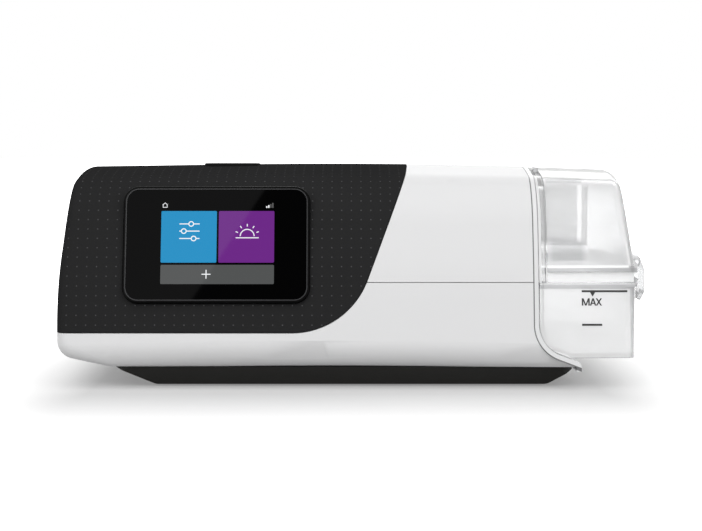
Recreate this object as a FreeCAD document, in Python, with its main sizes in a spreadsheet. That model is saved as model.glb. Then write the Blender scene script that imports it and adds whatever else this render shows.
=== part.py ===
import FreeCAD, Part
import math
import os
import Sketcher
from FreeCAD import Placement, Rotation, Vector

# A bedside air pressure therapy machine with a slide-in water tub.
# Millimetres.  X runs along the machine, from the screen end to the tub end.
# Y runs from the front to the back, Z upwards, and the feet stand on Z = 0.

doc = FreeCAD.newDocument("TherapyMachine")

# ------------------------------------------------------------ driving sizes

SIZES = {
    # whole machine
    "machine_height": 94.5,
    "skin": 2.4,
    "seam": 0.3,
    "seam_height": 44.8,
    "crown_radius": 3380.0,
    "crown_place": -15.0,
    # side profile of the housing, corner by corner
    "toe_depth": -69.2,
    "toe_height": 8.8,
    "toe_radius": 10.0,
    "shin_depth": -62.0,
    "shin_height": 50.0,
    "shin_radius": 150.0,
    "brow_depth": -53.0,
    "brow_height": 79.5,
    "brow_radius": 32.0,
    "fold_depth": -41.0,
    "fold_height": 89.6,
    "fold_radius": 20.0,
    "crest_depth": -6.0,
    "crest_height": 94.9,
    "crest_radius": 200.0,
    "back_depth": 68.75,
    "back_height": 91.0,
    "back_radius": 14.0,
    "heel_radius": 8.0,
    # left end
    "left_end": -132.7,
    "left_toe_height": 13.9,
    "left_toe_radius": 8.0,
    "left_knee_height": 42.0,
    "left_knee_radius": 220.0,
    "left_top": -125.4,
    "left_top_height": 100.0,
    "left_bottom": -110.0,
    "left_bow": 770.0,
    "end_round": 5.5,
    "arch_start": -65.0,
    # edge where the tub meets the housing
    "dock_edge": 71.6,
    "dock_bend_height": 16.2,
    "dock_bend_radius": 15.7,
    "dock_tip": 89.4,
    "dock_tip_height": 9.5,
    "dock_trim": 2.2,
    # front fascia
    "fascia_top": 21.8,
    "fascia_bottom": 23.8,
    "fascia_corner": -6.9,
    "fascia_radius": 34.0,
    "fascia_back": 46.0,
    # screen
    "screen_place": -62.5,
    "screen_depth": -60.3,
    "screen_height": 60.85,
    "screen_lean": 14.5,
    "bezel_width": 79.4,
    "bezel_tall": 50.5,
    "bezel_radius": 6.8,
    "bezel_rim": 1.5,
    "bezel_deep": 13.0,
    "glass_thick": 1.1,
    # start button
    "button_place": -59.0,
    "button_depth": -7.0,
    "button_long": 25.0,
    "button_wide": 11.0,
    "button_top": 94.5,
    "button_thick": 4.8,
    # base tray
    "base_top": 8.8,
    "base_bottom": 0.4,
    "base_left_top": -107.0,
    "base_left": -88.5,
    "base_right": 78.0,
    "base_right_top": 89.2,
    "base_depth_top": 60.5,
    "base_depth_low": 55.5,
    "foot_radius": 6.5,
    # tub
    "tub_left": -5.2,
    "tub_floor": 13.2,
    "tub_wall": 1.8,
    "tub_rim": 44.6,
    "tub_end": 120.4,
    "tub_bow": 360.0,
    "lid_low": 49.0,
    "lid_left": 77.8,
    "lid_lean": 10.0,
    "tub_corner": 5.0,
    "hinge_place": 76.9,
    "hinge_height": 91.0,
    # clip on the lid
    "clip_place": 122.4,
    "clip_height": 50.4,
    "clip_wide": 28.0,
    "pin_radius": 1.0,
    # hinged covers at the back and the left end
    "cover_pin": 0.5,
    "cover_axis_depth": 67.8,
    "cover_axis_height": 38.1,
    "card_axis_place": -131.85,
    "card_axis_height": 39.9,
    # air ports in the dock wall
    "port_height": 66.0,
    "port_low": 56.5,
    "port_in": -33.0,
    "port_out": 28.0,
    "port_radius": 9.0,
    # blower
    "blower_place": -54.0,
    "blower_depth": -13.0,
    "volute_low": 46.5,
    "volute_high": 66.5,
    "volute_small": 25.0,
    "volute_step": 2.0,
    "impeller_radius": 21.5,
    "shaft_radius": 1.5,
    # air outlet
    "outlet_place": -27.0,
    "outlet_radius": 11.0,
    "outlet_bore": 9.4,
    "outlet_shoulder": 48.0,
    "outlet_end": 68.6,
    "socket_outer": 18.3,
    "socket_inner": 16.8,
    # circuit board
    "board_low": 27.6,
    "board_top": 29.2,
    # from the drawing's own origin to the middle between the two ends
    "frame_shift": 3.0,
}

sheet = doc.addObject("Spreadsheet::Sheet", "Sizes")
for row, (alias, number) in enumerate(SIZES.items(), 1):
    sheet.set("A%d" % row, alias.replace("_", " "))
    sheet.set("B%d" % row, str(number))
    sheet.setAlias("B%d" % row, alias)
doc.recompute()

# --------------------------------------------------------------- small tools


def terms(text):
    """Pairs of factor and name from a sum such as 'base_top - 2*skin'."""
    pairs = []
    sign = 1.0
    for word in str(text).split():
        if word in "+-":
            sign = -1.0 if word == "-" else 1.0
            continue
        if word[0] == "-":
            sign, word = -sign, word[1:]
        factor, star, name = word.rpartition("*")
        pairs.append((sign * float(factor or 1.0), name))
        sign = 1.0
    return pairs


def amount(text):
    """The sum's value, read from the sheet."""
    return sum(f * (float(getattr(sheet, n)) if n[0].isalpha() else float(n)) for f, n in terms(text))


def formula(text):
    """The same sum as an expression on the sheet's cells."""
    return " + ".join("(%s) * %s" % (f, "Sizes." + n if n[0].isalpha() else n) for f, n in terms(text))


def bind(thing, **links):
    """Tie properties of a document object to sums of cells."""
    for name, text in links.items():
        thing.setExpression(name.replace("__", "."), formula(text))
    return thing


def place(thing, x=None, y=None, z=None):
    """Tie the place of an object to sums of cells."""
    for axis, text in (("x", x), ("y", y), ("z", z)):
        if text is not None:
            thing.setExpression("Placement.Base." + axis, formula(text))
    return thing


VIEWS = {
    "XY": Rotation(Vector(1, 0, 0), Vector(0, 1, 0), Vector(0, 0, 1), "ZXY"),
    "XZ": Rotation(Vector(1, 0, 0), Vector(0, 0, 1), Vector(0, -1, 0), "ZXY"),
    "YZ": Rotation(Vector(0, 1, 0), Vector(0, 0, 1), Vector(1, 0, 0), "ZXY"),
}
DIRECTIONS = {"XY": Vector(0, 0, 1), "XZ": Vector(0, 1, 0), "YZ": Vector(1, 0, 0)}


def draw(sketch, corners):
    """A closed outline through corners (across, up, radius), tied to the cells."""
    spots = [Vector(amount(c[0]), amount(c[1]), 0) for c in corners]
    count = len(corners)
    first = sketch.GeometryCount
    for i in range(count):
        sketch.addGeometry(Part.LineSegment(spots[i], spots[(i + 1) % count]))
    for i in range(count):
        sketch.addConstraint(Sketcher.Constraint("Coincident", first + i, 2, first + (i + 1) % count, 1))
    for i, corner in enumerate(corners):
        ties = (("DistanceX", corner[0], spots[i].x), ("DistanceY", corner[1], spots[i].y))
        for kind, text, number in ties:
            index = sketch.addConstraint(Sketcher.Constraint(kind, -1, 1, first + i, 1, number))
            sketch.setExpression("Constraints[%d]" % index, formula(text))
    for i, corner in enumerate(corners):
        if len(corner) < 3:
            continue
        before = sketch.GeometryCount
        near = [spots[i] + (spots[(i + k) % count] - spots[i]) * 0.01 for k in (-1, 1)]
        sketch.fillet(first + (i - 1) % count, first + i, near[0], near[1], amount(corner[2]), True, True)
        index = sketch.addConstraint(Sketcher.Constraint("Radius", before, amount(corner[2])))
        sketch.setExpression("Constraints[%d]" % index, formula(corner[2]))


def draw_round(sketch, across, up, radius):
    """A circle tied to the cells."""
    circle = Part.Circle(Vector(amount(across), amount(up), 0), Vector(0, 0, 1), amount(radius))
    item = sketch.addGeometry(circle)
    ties = (("DistanceX", across), ("DistanceY", up))
    for kind, text in ties:
        index = sketch.addConstraint(Sketcher.Constraint(kind, -1, 1, item, 3, amount(text)))
        sketch.setExpression("Constraints[%d]" % index, formula(text))
    index = sketch.addConstraint(Sketcher.Constraint("Radius", item, amount(radius)))
    sketch.setExpression("Constraints[%d]" % index, formula(radius))


def box_corners(left, right, low, high, radius=None):
    """Corners of a rectangle, rounded if a radius is given."""
    end = () if radius is None else (radius,)
    return [(left, low) + end, (right, low) + end, (right, high) + end, (left, high) + end]


def free_sketch(name, view, corners, at="0"):
    """A sketch outside any body, at a place along its view's direction."""
    sketch = doc.addObject("Sketcher::SketchObject", name)
    sketch.Placement = Placement(Vector(0, 0, 0), VIEWS[view])
    axis = {"XY": "z", "XZ": "y", "YZ": "x"}[view]
    place(sketch, **{axis: at})
    draw(sketch, corners)
    return sketch


def negative(text):
    """The sum with every sign turned round."""
    return " + ".join("%g*%s" % (-f, n) for f, n in terms(text))


def inset_of(source, inset):
    """The outline moved inwards by the given sum (outwards where it is negative)."""
    ring = doc.addObject("Part::Offset2D", source.Name + "_inset")
    ring.Source = source
    ring.Join = 0
    return bind(ring, Value=negative(inset))


def prism(name, source, view, length, back="0"):
    """Extrusion of an outline along its view's direction, both ways."""
    solid = doc.addObject("Part::Extrusion", name)
    solid.Base = source
    solid.DirMode = "Custom"
    solid.Dir = DIRECTIONS[view]
    solid.Solid = True
    return bind(solid, LengthFwd=length, LengthRev=back)


def block(name, left, right, front, rear, low, high):
    """A box between six planes."""
    solid = doc.addObject("Part::Box", name)
    bind(solid, Length=right + " + " + negative(left), Width=rear + " + " + negative(front))
    bind(solid, Height=high + " + " + negative(low))
    return place(solid, left, front, low)


TURNS = {"x": Rotation(Vector(0, 1, 0), 90), "y": Rotation(Vector(1, 0, 0), -90), "z": Rotation()}


def rod(name, axis, x, y, z, radius, length):
    """A cylinder from a point along +X, +Y or +Z."""
    solid = doc.addObject("Part::Cylinder", name)
    solid.Placement = Placement(Vector(0, 0, 0), TURNS[axis])
    bind(solid, Radius=radius, Height=length)
    return place(solid, x, y, z)


def joined(name, *pieces):
    solid = doc.addObject("Part::MultiFuse", name)
    solid.Shapes = list(pieces)
    return solid


def shared(name, *pieces):
    """What all the pieces have in common, taken two at a time."""
    solid = pieces[0]
    for count, piece in enumerate(pieces[1:], 2):
        step = doc.addObject("Part::Common", name if count == len(pieces) else "%s_step%d" % (name, count))
        step.Base = solid
        step.Tool = piece
        solid = step
    return solid


def without(name, base, *tools):
    solid = base
    for count, tool in enumerate(tools, 1):
        step = doc.addObject("Part::Cut", name if count == len(tools) else "%s_step%d" % (name, count))
        step.Base = solid
        step.Tool = tool
        solid = step
    return solid


def tube(name, axis, x, y, z, outer, inner, length):
    """A hollow cylinder."""
    shell = rod(name + "_outer", axis, x, y, z, outer, length)
    bore = rod(name + "_bore", axis, x, y, z, inner, length)
    return without(name, shell, bore)


def rounded(name, base, radius, wanted):
    """Fillet the edges of a solid that the test picks out."""
    doc.recompute()
    edges = [(i, amount(radius), amount(radius)) for i, e in enumerate(base.Shape.Edges, 1) if wanted(e)]
    solid = doc.addObject("Part::Fillet", name)
    solid.Base = base
    solid.Edges = edges
    return solid


def new_body(label):
    body = doc.addObject("PartDesign::Body", label)
    body.Label = label
    return body


def body_sketch(body, name, view, at="0"):
    """A sketch on one of the body's own origin planes."""
    sketch = body.newObject("Sketcher::SketchObject", name)
    role = view + "_Plane"
    plane = [f for f in body.Origin.OriginFeatures if f.Role == role][0]
    sketch.AttachmentSupport = [(plane, "")]
    sketch.MapMode = "FlatFace"
    sign = "-1*" if view == "XZ" else ""
    sketch.setExpression("AttachmentOffset.Base.z", formula(sign + at))
    return sketch


def pad(body, name, view, corners, length, at="0", circles=()):
    """A pad whose sketch lies at a place along the view's normal."""
    sketch = body_sketch(body, name + "_sketch", view, at)
    if corners:
        draw(sketch, corners)
    for circle in circles:
        draw_round(sketch, *circle)
    feature = body.newObject("PartDesign::Pad", name)
    feature.Profile = sketch
    bind(feature, Length=length)
    return feature


def pocket(body, name, view, corners, length, at="0", circles=()):
    """A pocket that cuts from its sketch towards -X, -Y or -Z."""
    sketch = body_sketch(body, name + "_sketch", view, at)
    if corners:
        draw(sketch, corners)
    for circle in circles:
        draw_round(sketch, *circle)
    doc.recompute()
    before = body.Shape.Volume
    feature = body.newObject("PartDesign::Pocket", name)
    feature.Profile = sketch
    feature.Reversed = view == "XZ"
    bind(feature, Length=length)
    doc.recompute()
    assert body.Shape.Volume < before - 0.01, name + " cuts nothing"
    return feature


def soften(body, name, radius, wanted):
    """Fillet those edges of the body that the test picks out."""
    doc.recompute()
    tip = body.Tip
    picked = ["Edge%d" % i for i, e in enumerate(tip.Shape.Edges, 1) if wanted(e)]
    feature = body.newObject("PartDesign::Fillet", name)
    feature.Base = (tip, picked)
    bind(feature, Radius=radius)
    return feature


def ring_of(body, feature, count, step_axis="Z_Axis"):
    """Repeat a feature round one of the body's axes."""
    pattern = body.newObject("PartDesign::PolarPattern", feature.Name + "_ring")
    pattern.Originals = [feature]
    axis = [f for f in body.Origin.OriginFeatures if f.Role == step_axis][0]
    pattern.Axis = (axis, [""])
    pattern.Angle = 360
    pattern.Occurrences = count
    body.Tip = pattern
    return pattern


NODES = {}


def keep(label, thing):
    """Name a finished sub-part, which is written under that name."""
    thing.Label = label
    NODES[label] = thing
    return thing


# ------------------------------------------------------- outer form, by skins
# The housing is one side profile swept along a very slightly arched line, so
# the top is crowned.  Its left end runs on straight, leans inwards, is bowed in
# plan and has rounded edges.

PROFILE = [
    ("toe_depth", "toe_height", "toe_radius"),
    ("shin_depth", "shin_height", "shin_radius"),
    ("brow_depth", "brow_height", "brow_radius"),
    ("fold_depth", "fold_height", "fold_radius"),
    ("crest_depth", "crest_height", "crest_radius"),
    ("back_depth", "back_height", "back_radius"),
    ("back_depth", "toe_height", "heel_radius"),
]
# the dock and the tub use the same profile with the front and back run lower
DOCK_PROFILE = [("toe_depth - 1.5", "0.2")] + PROFILE[1:6] + [("back_depth", "0.2")]
# the liner and what slides in it keep clear of the rounded corners of the floor
SLIDE_PROFILE = [("toe_depth - 0.26", "toe_height - 1.5", "toe_radius + 1")] + PROFILE[1:6] + [
    ("back_depth", "toe_height - 1.5", "heel_radius + 1")]

dock_profile = free_sketch("dock_profile", "YZ", DOCK_PROFILE, "crown_place")
slide_profile = free_sketch("slide_profile", "YZ", SLIDE_PROFILE, "crown_place")

left_outline = free_sketch("left_outline", "XZ", [
    ("200", "toe_height"),
    ("200", "left_top_height"),
    ("left_top", "left_top_height"),
    ("left_end", "left_knee_height", "left_knee_radius"),
    ("left_end", "left_toe_height", "left_toe_radius"),
    ("left_bottom", "toe_height", "left_toe_radius"),
])


def crowned(name, outline):
    """Sweep a side outline along the arched line of the machine."""
    solid = doc.addObject("Part::Revolution", name)
    solid.Source = outline
    solid.Axis = Vector(0, 1, 0)
    solid.Angle = 5.0
    solid.Symmetric = True
    solid.Solid = True
    solid.setExpression("Base.x", formula("crown_place"))
    solid.setExpression("Base.z", formula("machine_height - crown_radius"))
    return solid


def arch_turn(across):
    """The turn about the arch's axis that carries a profile from the crest to a place along X."""
    angle = math.degrees(math.asin(amount(across + " - crown_place") / amount("crown_radius")))
    axis_point = Vector(amount("crown_place"), 0, amount("machine_height - crown_radius"))
    return Placement(Vector(0, 0, 0), Rotation(Vector(0, 1, 0), angle), axis_point)


def envelope(name, inset, reach, radius=None):
    """The housing's form up to a reach along X, moved inwards: an arched run and a straight left end."""
    turn = arch_turn("arch_start")
    profile = doc.addObject("Sketcher::SketchObject", name + "_profile")
    profile.Placement = turn.multiply(Placement(Vector(amount("crown_place"), 0, 0), VIEWS["YZ"]))
    draw(profile, PROFILE)
    side = profile if inset == "0" else inset_of(profile, inset)
    run = doc.addObject("Part::Revolution", name + "_run")
    run.Source = side
    run.Axis = Vector(0, 1, 0)
    run.Angle = 4.0
    run.Solid = True
    run.setExpression("Base.x", formula("crown_place"))
    run.setExpression("Base.z", formula("machine_height - crown_radius"))
    straight = doc.addObject("Part::Extrusion", name + "_straight")
    straight.Base = side
    straight.DirMode = "Custom"
    straight.Dir = turn.Rotation.multVec(Vector(-1, 0, 0))
    straight.Solid = True
    bind(straight, LengthFwd="90")
    bow = doc.addObject("Part::Revolution", name + "_bow")
    bow.Source = left_outline if inset == "0" else inset_of(left_outline, inset)
    bow.Axis = Vector(0, 0, 1)
    bow.Angle = 16.0
    bow.Symmetric = True
    bow.Solid = True
    bow.setExpression("Base.x", formula("left_end + left_bow"))
    end = shared(name + "_end", straight, bow)
    if radius:
        end = rounded(name + "_end_round", end, radius, at_left_end)
    zone = block(name + "_zone", "-150", reach, "-90", "90", "toe_height + " + inset, "120")
    kept = shared(name + "_kept", run, zone)
    return joined(name, kept, end)


def at_left_end(edge):
    """The chain of edges where the left end meets the front, top and back."""
    box = edge.BoundBox
    level = box.YLength > 100.0 and box.ZLength < 0.01
    return box.XMax < amount("left_top + 4") and box.ZMax > 16.0 and not level


def crowned_dock(name, inset):
    """The dock's crowned outer form, moved inwards by the inset."""
    return crowned(name, dock_profile if inset == "0" else inset_of(dock_profile, inset))


def straight_dock(name, inset):
    """The dock's form without the crown, which the tub can slide along."""
    return prism(name, inset_of(slide_profile, inset), "YZ", "160", "160")


outer_form = envelope("outer_form", "0", "100", "end_round")
inner_form = envelope("inner_form", "skin", "110")
lip_form = envelope("lip_form", "skin + 1", "110")
shell = without("shell", outer_form, inner_form)
lip_shell = without("lip_shell", inner_form, lip_form)

# region left of and below the J-shaped edge where the tub comes in
DOCK_CORNERS = [
    ("-200", "-5"),
    ("dock_tip", "-5"),
    ("dock_tip", "dock_tip_height"),
    ("dock_edge", "dock_bend_height", "dock_bend_radius"),
    ("dock_edge", "120"),
    ("-200", "120"),
]
dock_outline = free_sketch("dock_outline", "XZ", DOCK_CORNERS)
housing_side = prism("housing_side", dock_outline, "XZ", "80", "80")


def dock_side(name, gap):
    """The region on the housing's side of the J edge, grown by a gap."""
    return prism(name, inset_of(dock_outline, negative(gap)), "XZ", "80", "80")


# region under the black fascia: a slanted right edge that sweeps into the level bottom
fascia_outline = free_sketch("fascia_outline", "XZ", [
    ("-200", "fascia_bottom"),
    ("fascia_corner", "fascia_bottom", "fascia_radius"),
    ("fascia_top", "100"),
    ("-200", "100"),
])
fascia_zone = prism("fascia_zone", fascia_outline, "XZ", "fascia_back", "80")
fascia_hole = prism("fascia_hole", inset_of(fascia_outline, "-1*seam"), "XZ", "fascia_back + seam", "80")
lip_zone = prism("lip_zone", inset_of(fascia_outline, "-3"), "XZ", "fascia_back + 3", "80")

# --------------------------------------------------------- screen and button

LEAN = math.radians(amount("screen_lean"))
SCREEN_TURN = Rotation(
    Vector(1, 0, 0),
    Vector(0, math.sin(LEAN), math.cos(LEAN)),
    Vector(0, -math.cos(LEAN), math.sin(LEAN)),
    "ZXY",
)


def on_screen(body):
    """Stand a body on the leaning plane of the screen's face."""
    body.Placement = Placement(Vector(0, 0, 0), SCREEN_TURN)
    return place(body, "screen_place", "screen_depth", "screen_height")


def slab_corners(width, tall, radius):
    """Corners of a rounded rectangle about the origin."""
    return box_corners("-0.5*" + width, "0.5*" + width, "-0.5*" + tall, "0.5*" + tall, radius)


bezel = on_screen(new_body("screen_bezel"))
pad(bezel, "bezel_block", "XY", slab_corners("bezel_width", "bezel_tall", "bezel_radius"),
    "bezel_deep", "-1*bezel_deep")
soften(bezel, "bezel_edge", "0.8", lambda e: e.BoundBox.ZMin > -0.01)
inner_left, inner_right = "-0.5*bezel_width + bezel_rim", "0.5*bezel_width - bezel_rim"
inner_low, inner_high = "-0.5*bezel_tall + bezel_rim", "0.5*bezel_tall - bezel_rim"
pocket(bezel, "glass_seat", "XY",
       box_corners(inner_left, inner_right, inner_low, inner_high, "bezel_radius - bezel_rim"),
       "glass_thick + 0.15")
pocket(bezel, "display_bay", "XY",
       box_corners(inner_left + " + 2", inner_right + " - 2", inner_low + " + 2", inner_high + " - 2", "3"),
       "bezel_deep")
keep("screen_bezel", bezel)

glass = on_screen(new_body("touch_glass"))
pad(glass, "glass_plate", "XY",
    box_corners(inner_left + " + 0.15", inner_right + " - 0.15", inner_low + " + 0.15",
                inner_high + " - 0.15", "bezel_radius - bezel_rim - 0.15"),
    "glass_thick", "-1*glass_thick - 0.15")
keep("touch_glass", glass)

display = on_screen(new_body("display_panel"))
pad(display, "display_frame", "XY", box_corners("-35", "35", "-21", "21", "1.5"), "4", "-5.25")
pad(display, "display_rear", "XY", box_corners("-30", "30", "-17", "17", "1"), "3", "-8.25")
keep("display_panel", display)

bezel_room = on_screen(new_body("bezel_room"))
pad(bezel_room, "bezel_room_block", "XY",
    slab_corners("bezel_width", "bezel_tall", "bezel_radius"), "30", "-18")


def stadium(name, grow, low, thick):
    """A pill-shaped solid round the button's centre."""
    half = "0.5*button_long + " + grow
    side = "0.5*button_wide + " + grow
    corners = box_corners("button_place - 0.5*button_long - " + grow, "button_place + " + half,
                          "button_depth - 0.5*button_wide - " + grow, "button_depth + " + side,
                          "0.499*button_wide + " + grow)
    return prism(name, free_sketch(name + "_outline", "XY", corners, low), "XY", thick)


cap = stadium("button_cap", "0", "button_top - button_thick", "button_thick")
cap_round = rounded("button_crown", cap, "0.5", lambda e: e.BoundBox.ZMin > amount("button_top") - 0.01)
flange = stadium("button_flange", "1.2", "button_top - button_thick - 1", "1")
stem = rod("button_stem", "z", "button_place", "button_depth", "84.6", "2.2",
           "button_top - button_thick - 85.2")
keep("start_button", joined("start_button", cap_round, flange, stem))
button_room = stadium("button_room", "0.3", "80", "20")

# switch board under the button, hung from the fascia's ribs
switch_board = new_body("button_board")
pad(switch_board, "board_plate", "XY", box_corners("button_place - 17", "button_place + 17",
    "button_depth - 10", "button_depth + 10", "1.5"), "1.2", "80.4")
pad(switch_board, "switch_can", "XY", box_corners("button_place - 3", "button_place + 3",
    "button_depth - 3", "button_depth + 3"), "2", "81.6")
keep("button_board", switch_board)

# ------------------------------------------------------------------- fascia

card_slot = block("card_slot", "-140", "-115", "-9", "17", "27.5", "37.5")
card_recess = block("card_recess", "-140", "left_end + 1.8", "-12.3", "20.3", "25.2", "41")
card_hinge_room = block("card_hinge_room", "-140", "left_end + 2.1", "-12.3", "20.3", "38.4", "41")
card_pin_bore = rod("card_pin_bore", "y", "card_axis_place", "-13.4", "card_axis_height",
                    "cover_pin + 0.06", "34.8")
fascia_skin = shared("fascia_skin", shell, fascia_zone)
# ribs inside the fascia that carry the switch board on two posts
post_left = block("post_left", "button_place - 16.5", "button_place - 14", "button_depth - 4",
                  "button_depth + 4", "81.6", "92")
post_right = block("post_right", "button_place + 14", "button_place + 16.5", "button_depth - 4",
                   "button_depth + 4", "81.6", "92")
# lip behind the seam, which laps inside the housing's edge
fascia_lip = without("fascia_lip", shared("fascia_lip_full", lip_shell, lip_zone),
                     prism("lip_inside", inset_of(fascia_outline, "2"), "XZ", "fascia_back - 2", "80"))
fascia_body = joined("fascia_body", fascia_skin, fascia_lip, post_left, post_right)
keep("front_fascia", without("front_fascia", fascia_body, bezel_room, button_room, card_slot, card_recess,
                             card_hinge_room, card_pin_bore))

# ------------------------------------------------------- upper and lower shell

upper_zone = block("upper_zone", "-150", "dock_edge", "-80", "80", "seam_height + 0.5*seam", "110")
upper_skin = shared("upper_skin", shell, upper_zone)
outlet_hole = rod("outlet_hole", "y", "outlet_place", "40", "port_height", "socket_outer", "40")
upper_open = without("upper_open", upper_skin, fascia_hole, outlet_hole)
keep("upper_housing", upper_open)

lower_zone = block("lower_zone", "-150", "100", "-80", "80", "0", "seam_height - 0.5*seam")
lower_skin = shared("lower_skin", shell, lower_zone, housing_side)
BOARD_SCREWS = [("-115", "-42"), ("-115", "52"), ("-92", "-42"), ("-92", "40")]
BOSS_FEET = ["12", "12", "10.9", "10.9"]
floor_boss = [rod("floor_boss_%d" % i, "z", x, y, low, "3.2", "board_low - " + low)
              for i, ((x, y), low) in enumerate(zip(BOARD_SCREWS, BOSS_FEET))]
pilot_holes = joined("pilot_holes", *[rod("pilot_%d" % i, "z", x, y, "21.6", "1.4", "10")
                                      for i, (x, y) in enumerate(BOARD_SCREWS)])
lower_body = joined("lower_body", lower_skin, *floor_boss)
filter_window = block("filter_window", "-78", "-34", "60", "80", "20.5", "34.5")
filter_recess = block("filter_recess", "-81.3", "-30.7", "back_depth - 1.9", "80", "17.6", "39.4")
filter_hinge_room = block("filter_hinge_room", "-81.3", "-30.7", "60", "80", "36.9", "39.4")
filter_pin_bore = rod("filter_pin_bore", "x", "-82.4", "cover_axis_depth", "cover_axis_height",
                      "cover_pin + 0.06", "52.8")
jack_window = block("jack_window", "-108.6", "-93.4", "60", "80", "29", "42.6")
heater_window = block("heater_window", "4", "70", "-48", "48", "0", "12")
keep("lower_housing", without("lower_housing", lower_body, fascia_hole, filter_window, filter_recess,
                              filter_hinge_room, filter_pin_bore, jack_window, heater_window, pilot_holes))

# ------------------------------------------------------------------ base tray

base_front_outline = free_sketch("base_front_outline", "XZ", [
    ("base_left_top", "base_top"),
    ("base_left", "base_bottom", "4"),
    ("base_right", "base_bottom", "6"),
    ("base_right_top", "base_top - 1.6"),
    ("base_right_top - 0.6", "base_top"),
])
base_side_outline = free_sketch("base_side_outline", "YZ", [
    ("-1*base_depth_top", "base_top"),
    ("-1*base_depth_low", "base_bottom", "3"),
    ("base_depth_low", "base_bottom", "3"),
    ("base_depth_top", "base_top"),
])
base_plan_outline = free_sketch("base_plan_outline", "XY", box_corners(
    "base_left_top - 1", "base_right_top + 1", "-1*base_depth_top", "base_depth_top", "10"))
base_solid = shared(
    "base_solid",
    prism("base_front", base_front_outline, "XZ", "80", "80"),
    prism("base_side", base_side_outline, "YZ", "120", "120"),
    prism("base_plan", base_plan_outline, "XY", "20", "5"),
)
base_hollow = block("base_hollow", "base_left + 4", "base_right - 4", "-50", "50", "base_bottom + 2", "12")
FEET = [
    ("base_left + 14", "-44"), ("base_left + 14", "44"),
    ("base_right - 14", "-44"), ("base_right - 14", "44"),
]
foot_seats = joined("foot_seats", *[
    rod("foot_seat_%d" % i, "z", x, y, "0", "foot_radius + 0.2", "1.2") for i, (x, y) in enumerate(FEET)])
ribs = [block("base_rib_%d" % i, x, x + " + 1.8", "-50", "50", "base_bottom + 1", "base_top")
        for i, x in enumerate(["-55", "-22", "12", "42"])]
keep("base_plate", joined("base_plate", without("base_tray", base_solid, base_hollow, foot_seats), *ribs))

feet = new_body("rubber_feet")
feet_sketch = body_sketch(feet, "feet_sketch", "XY", "0")
for foot_x, foot_y in FEET:
    draw_round(feet_sketch, foot_x, foot_y, "foot_radius")
feet_pad = feet.newObject("PartDesign::Pad", "feet_pad")
feet_pad.Profile = feet_sketch
bind(feet_pad, Length="1.2")
keep("rubber_feet", feet)

# ------------------------------------------------------------------ water dock

passage = shared("passage", straight_dock("passage_form", "5.2"),
                 block("passage_zone", "60", "130", "-80", "80", "0", "120"))
trim_band = without("trim_band", dock_side("trim_reach", "dock_trim"), housing_side)
keep("dock_frame", without(
    "dock_frame",
    shared("trim_ring", trim_band, crowned_dock("trim_ring_sweep", "0"),
           block("trim_ring_zone", "60", "130", "-80", "80", "7.7", "120")),
    passage,
))

liner_solid = shared("liner_solid", straight_dock("liner_outer", "3.9"),
                     block("liner_zone", "-8", "dock_edge", "-80", "80", "0", "120"))
liner_cavity = shared("liner_cavity", straight_dock("liner_inner", "5.4"),
                      block("liner_inner_zone", "-6", "100", "-80", "80", "0", "120"))
PORTS = [("in", "port_in", "port_low"), ("out", "port_out", "port_height")]
port_holes = [rod("port_hole_" + side, "x", "-20", y, z, "port_radius", "30") for side, y, z in PORTS]
heater_hole = block("heater_hole", "6", "68", "-46", "46", "8", "14")
keep("dock_liner", without("dock_liner", liner_solid, liner_cavity, heater_hole, *port_holes))

for side, y, z in PORTS:
    seal = new_body("dock_%slet_seal" % side)
    pad(seal, "seal_%s_sleeve" % side, "YZ", [], "2.4", "-7.9", [(y, z, "port_radius")])
    pad(seal, "seal_%s_lip" % side, "YZ", [], "0.5", "-6", [(y, z, "port_radius + 2.6")])
    pocket(seal, "seal_%s_bore" % side, "YZ", [], "12", "4", [(y, z, "port_radius - 1.6")])
    keep("dock_%slet_seal" % side, seal)

heater = new_body("heater_plate")
pad(heater, "heater_flange", "XY", box_corners("4.2", "69.8", "-47.8", "47.8", "4"), "1", "10.2")
pad(heater, "heater_top", "XY", box_corners("6.2", "67.8", "-45.8", "45.8", "4"), "1.4", "11.2")
soften(heater, "heater_edge", "0.4", lambda e: e.BoundBox.ZMin > 12.59)
keep("heater_plate", heater)
mat = new_body("heater_mat")
pad(mat, "heater_film", "XY", box_corners("9", "65", "-43", "43", "3"), "0.6", "9.6")
keep("heater_mat", mat)

# ------------------------------------------------------------------ water tub


def tub_end(name, inset, lean=None):
    """Everything left of the tub's bowed right end, which may lean inwards."""
    solid = doc.addObject("Part::Cylinder", name)
    bind(solid, Radius="tub_bow + " + negative(inset), Height="220")
    if lean:
        turn = Rotation(Vector(0, 1, 0), -amount(lean))
        angle = math.radians(amount(lean))
        shift = Vector(math.sin(angle), 0, -math.cos(angle)) * 90.0
        # a leaning cylinder's level section reaches further along X than its radius
        centre = Vector(amount("tub_end") - amount("tub_bow") / math.cos(angle), 0, amount("lid_low"))
        solid.Placement = Placement(centre + shift, turn)
        return solid
    return place(solid, "tub_end - tub_bow", "0", "-50")


def tub_form(name, inset, low, high, lean=None, behind="0"):
    """The part of the tub that shows, moved inwards by the inset, and by more behind the dock's edge."""
    plain = shared(name + "_plain", crowned_dock(name + "_sweep", inset), tub_end(name + "_end", inset, lean),
                   block(name + "_zone", "60", "130", "-80", "80", low, high))
    return without(name + "_edge", plain, dock_side(name + "_dock", "dock_trim + 0.5 + " + behind))


def tub_inner(name, inset, left, right, low, high):
    """The part of the tub that slides into the dock, moved inwards by the inset."""
    return shared(name, straight_dock(name + "_form", inset),
                  block(name + "_zone", left, right, "-80", "80", low, high))


def near_tub_end(edge):
    """The corner edges of a tub form's right end, above the lid's lower rim."""
    box = edge.BoundBox
    return box.XMin > 90.0 and box.ZMax > amount("lid_low + 1") and (box.ZLength > 8.0 or box.YLength > 20.0)


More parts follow.
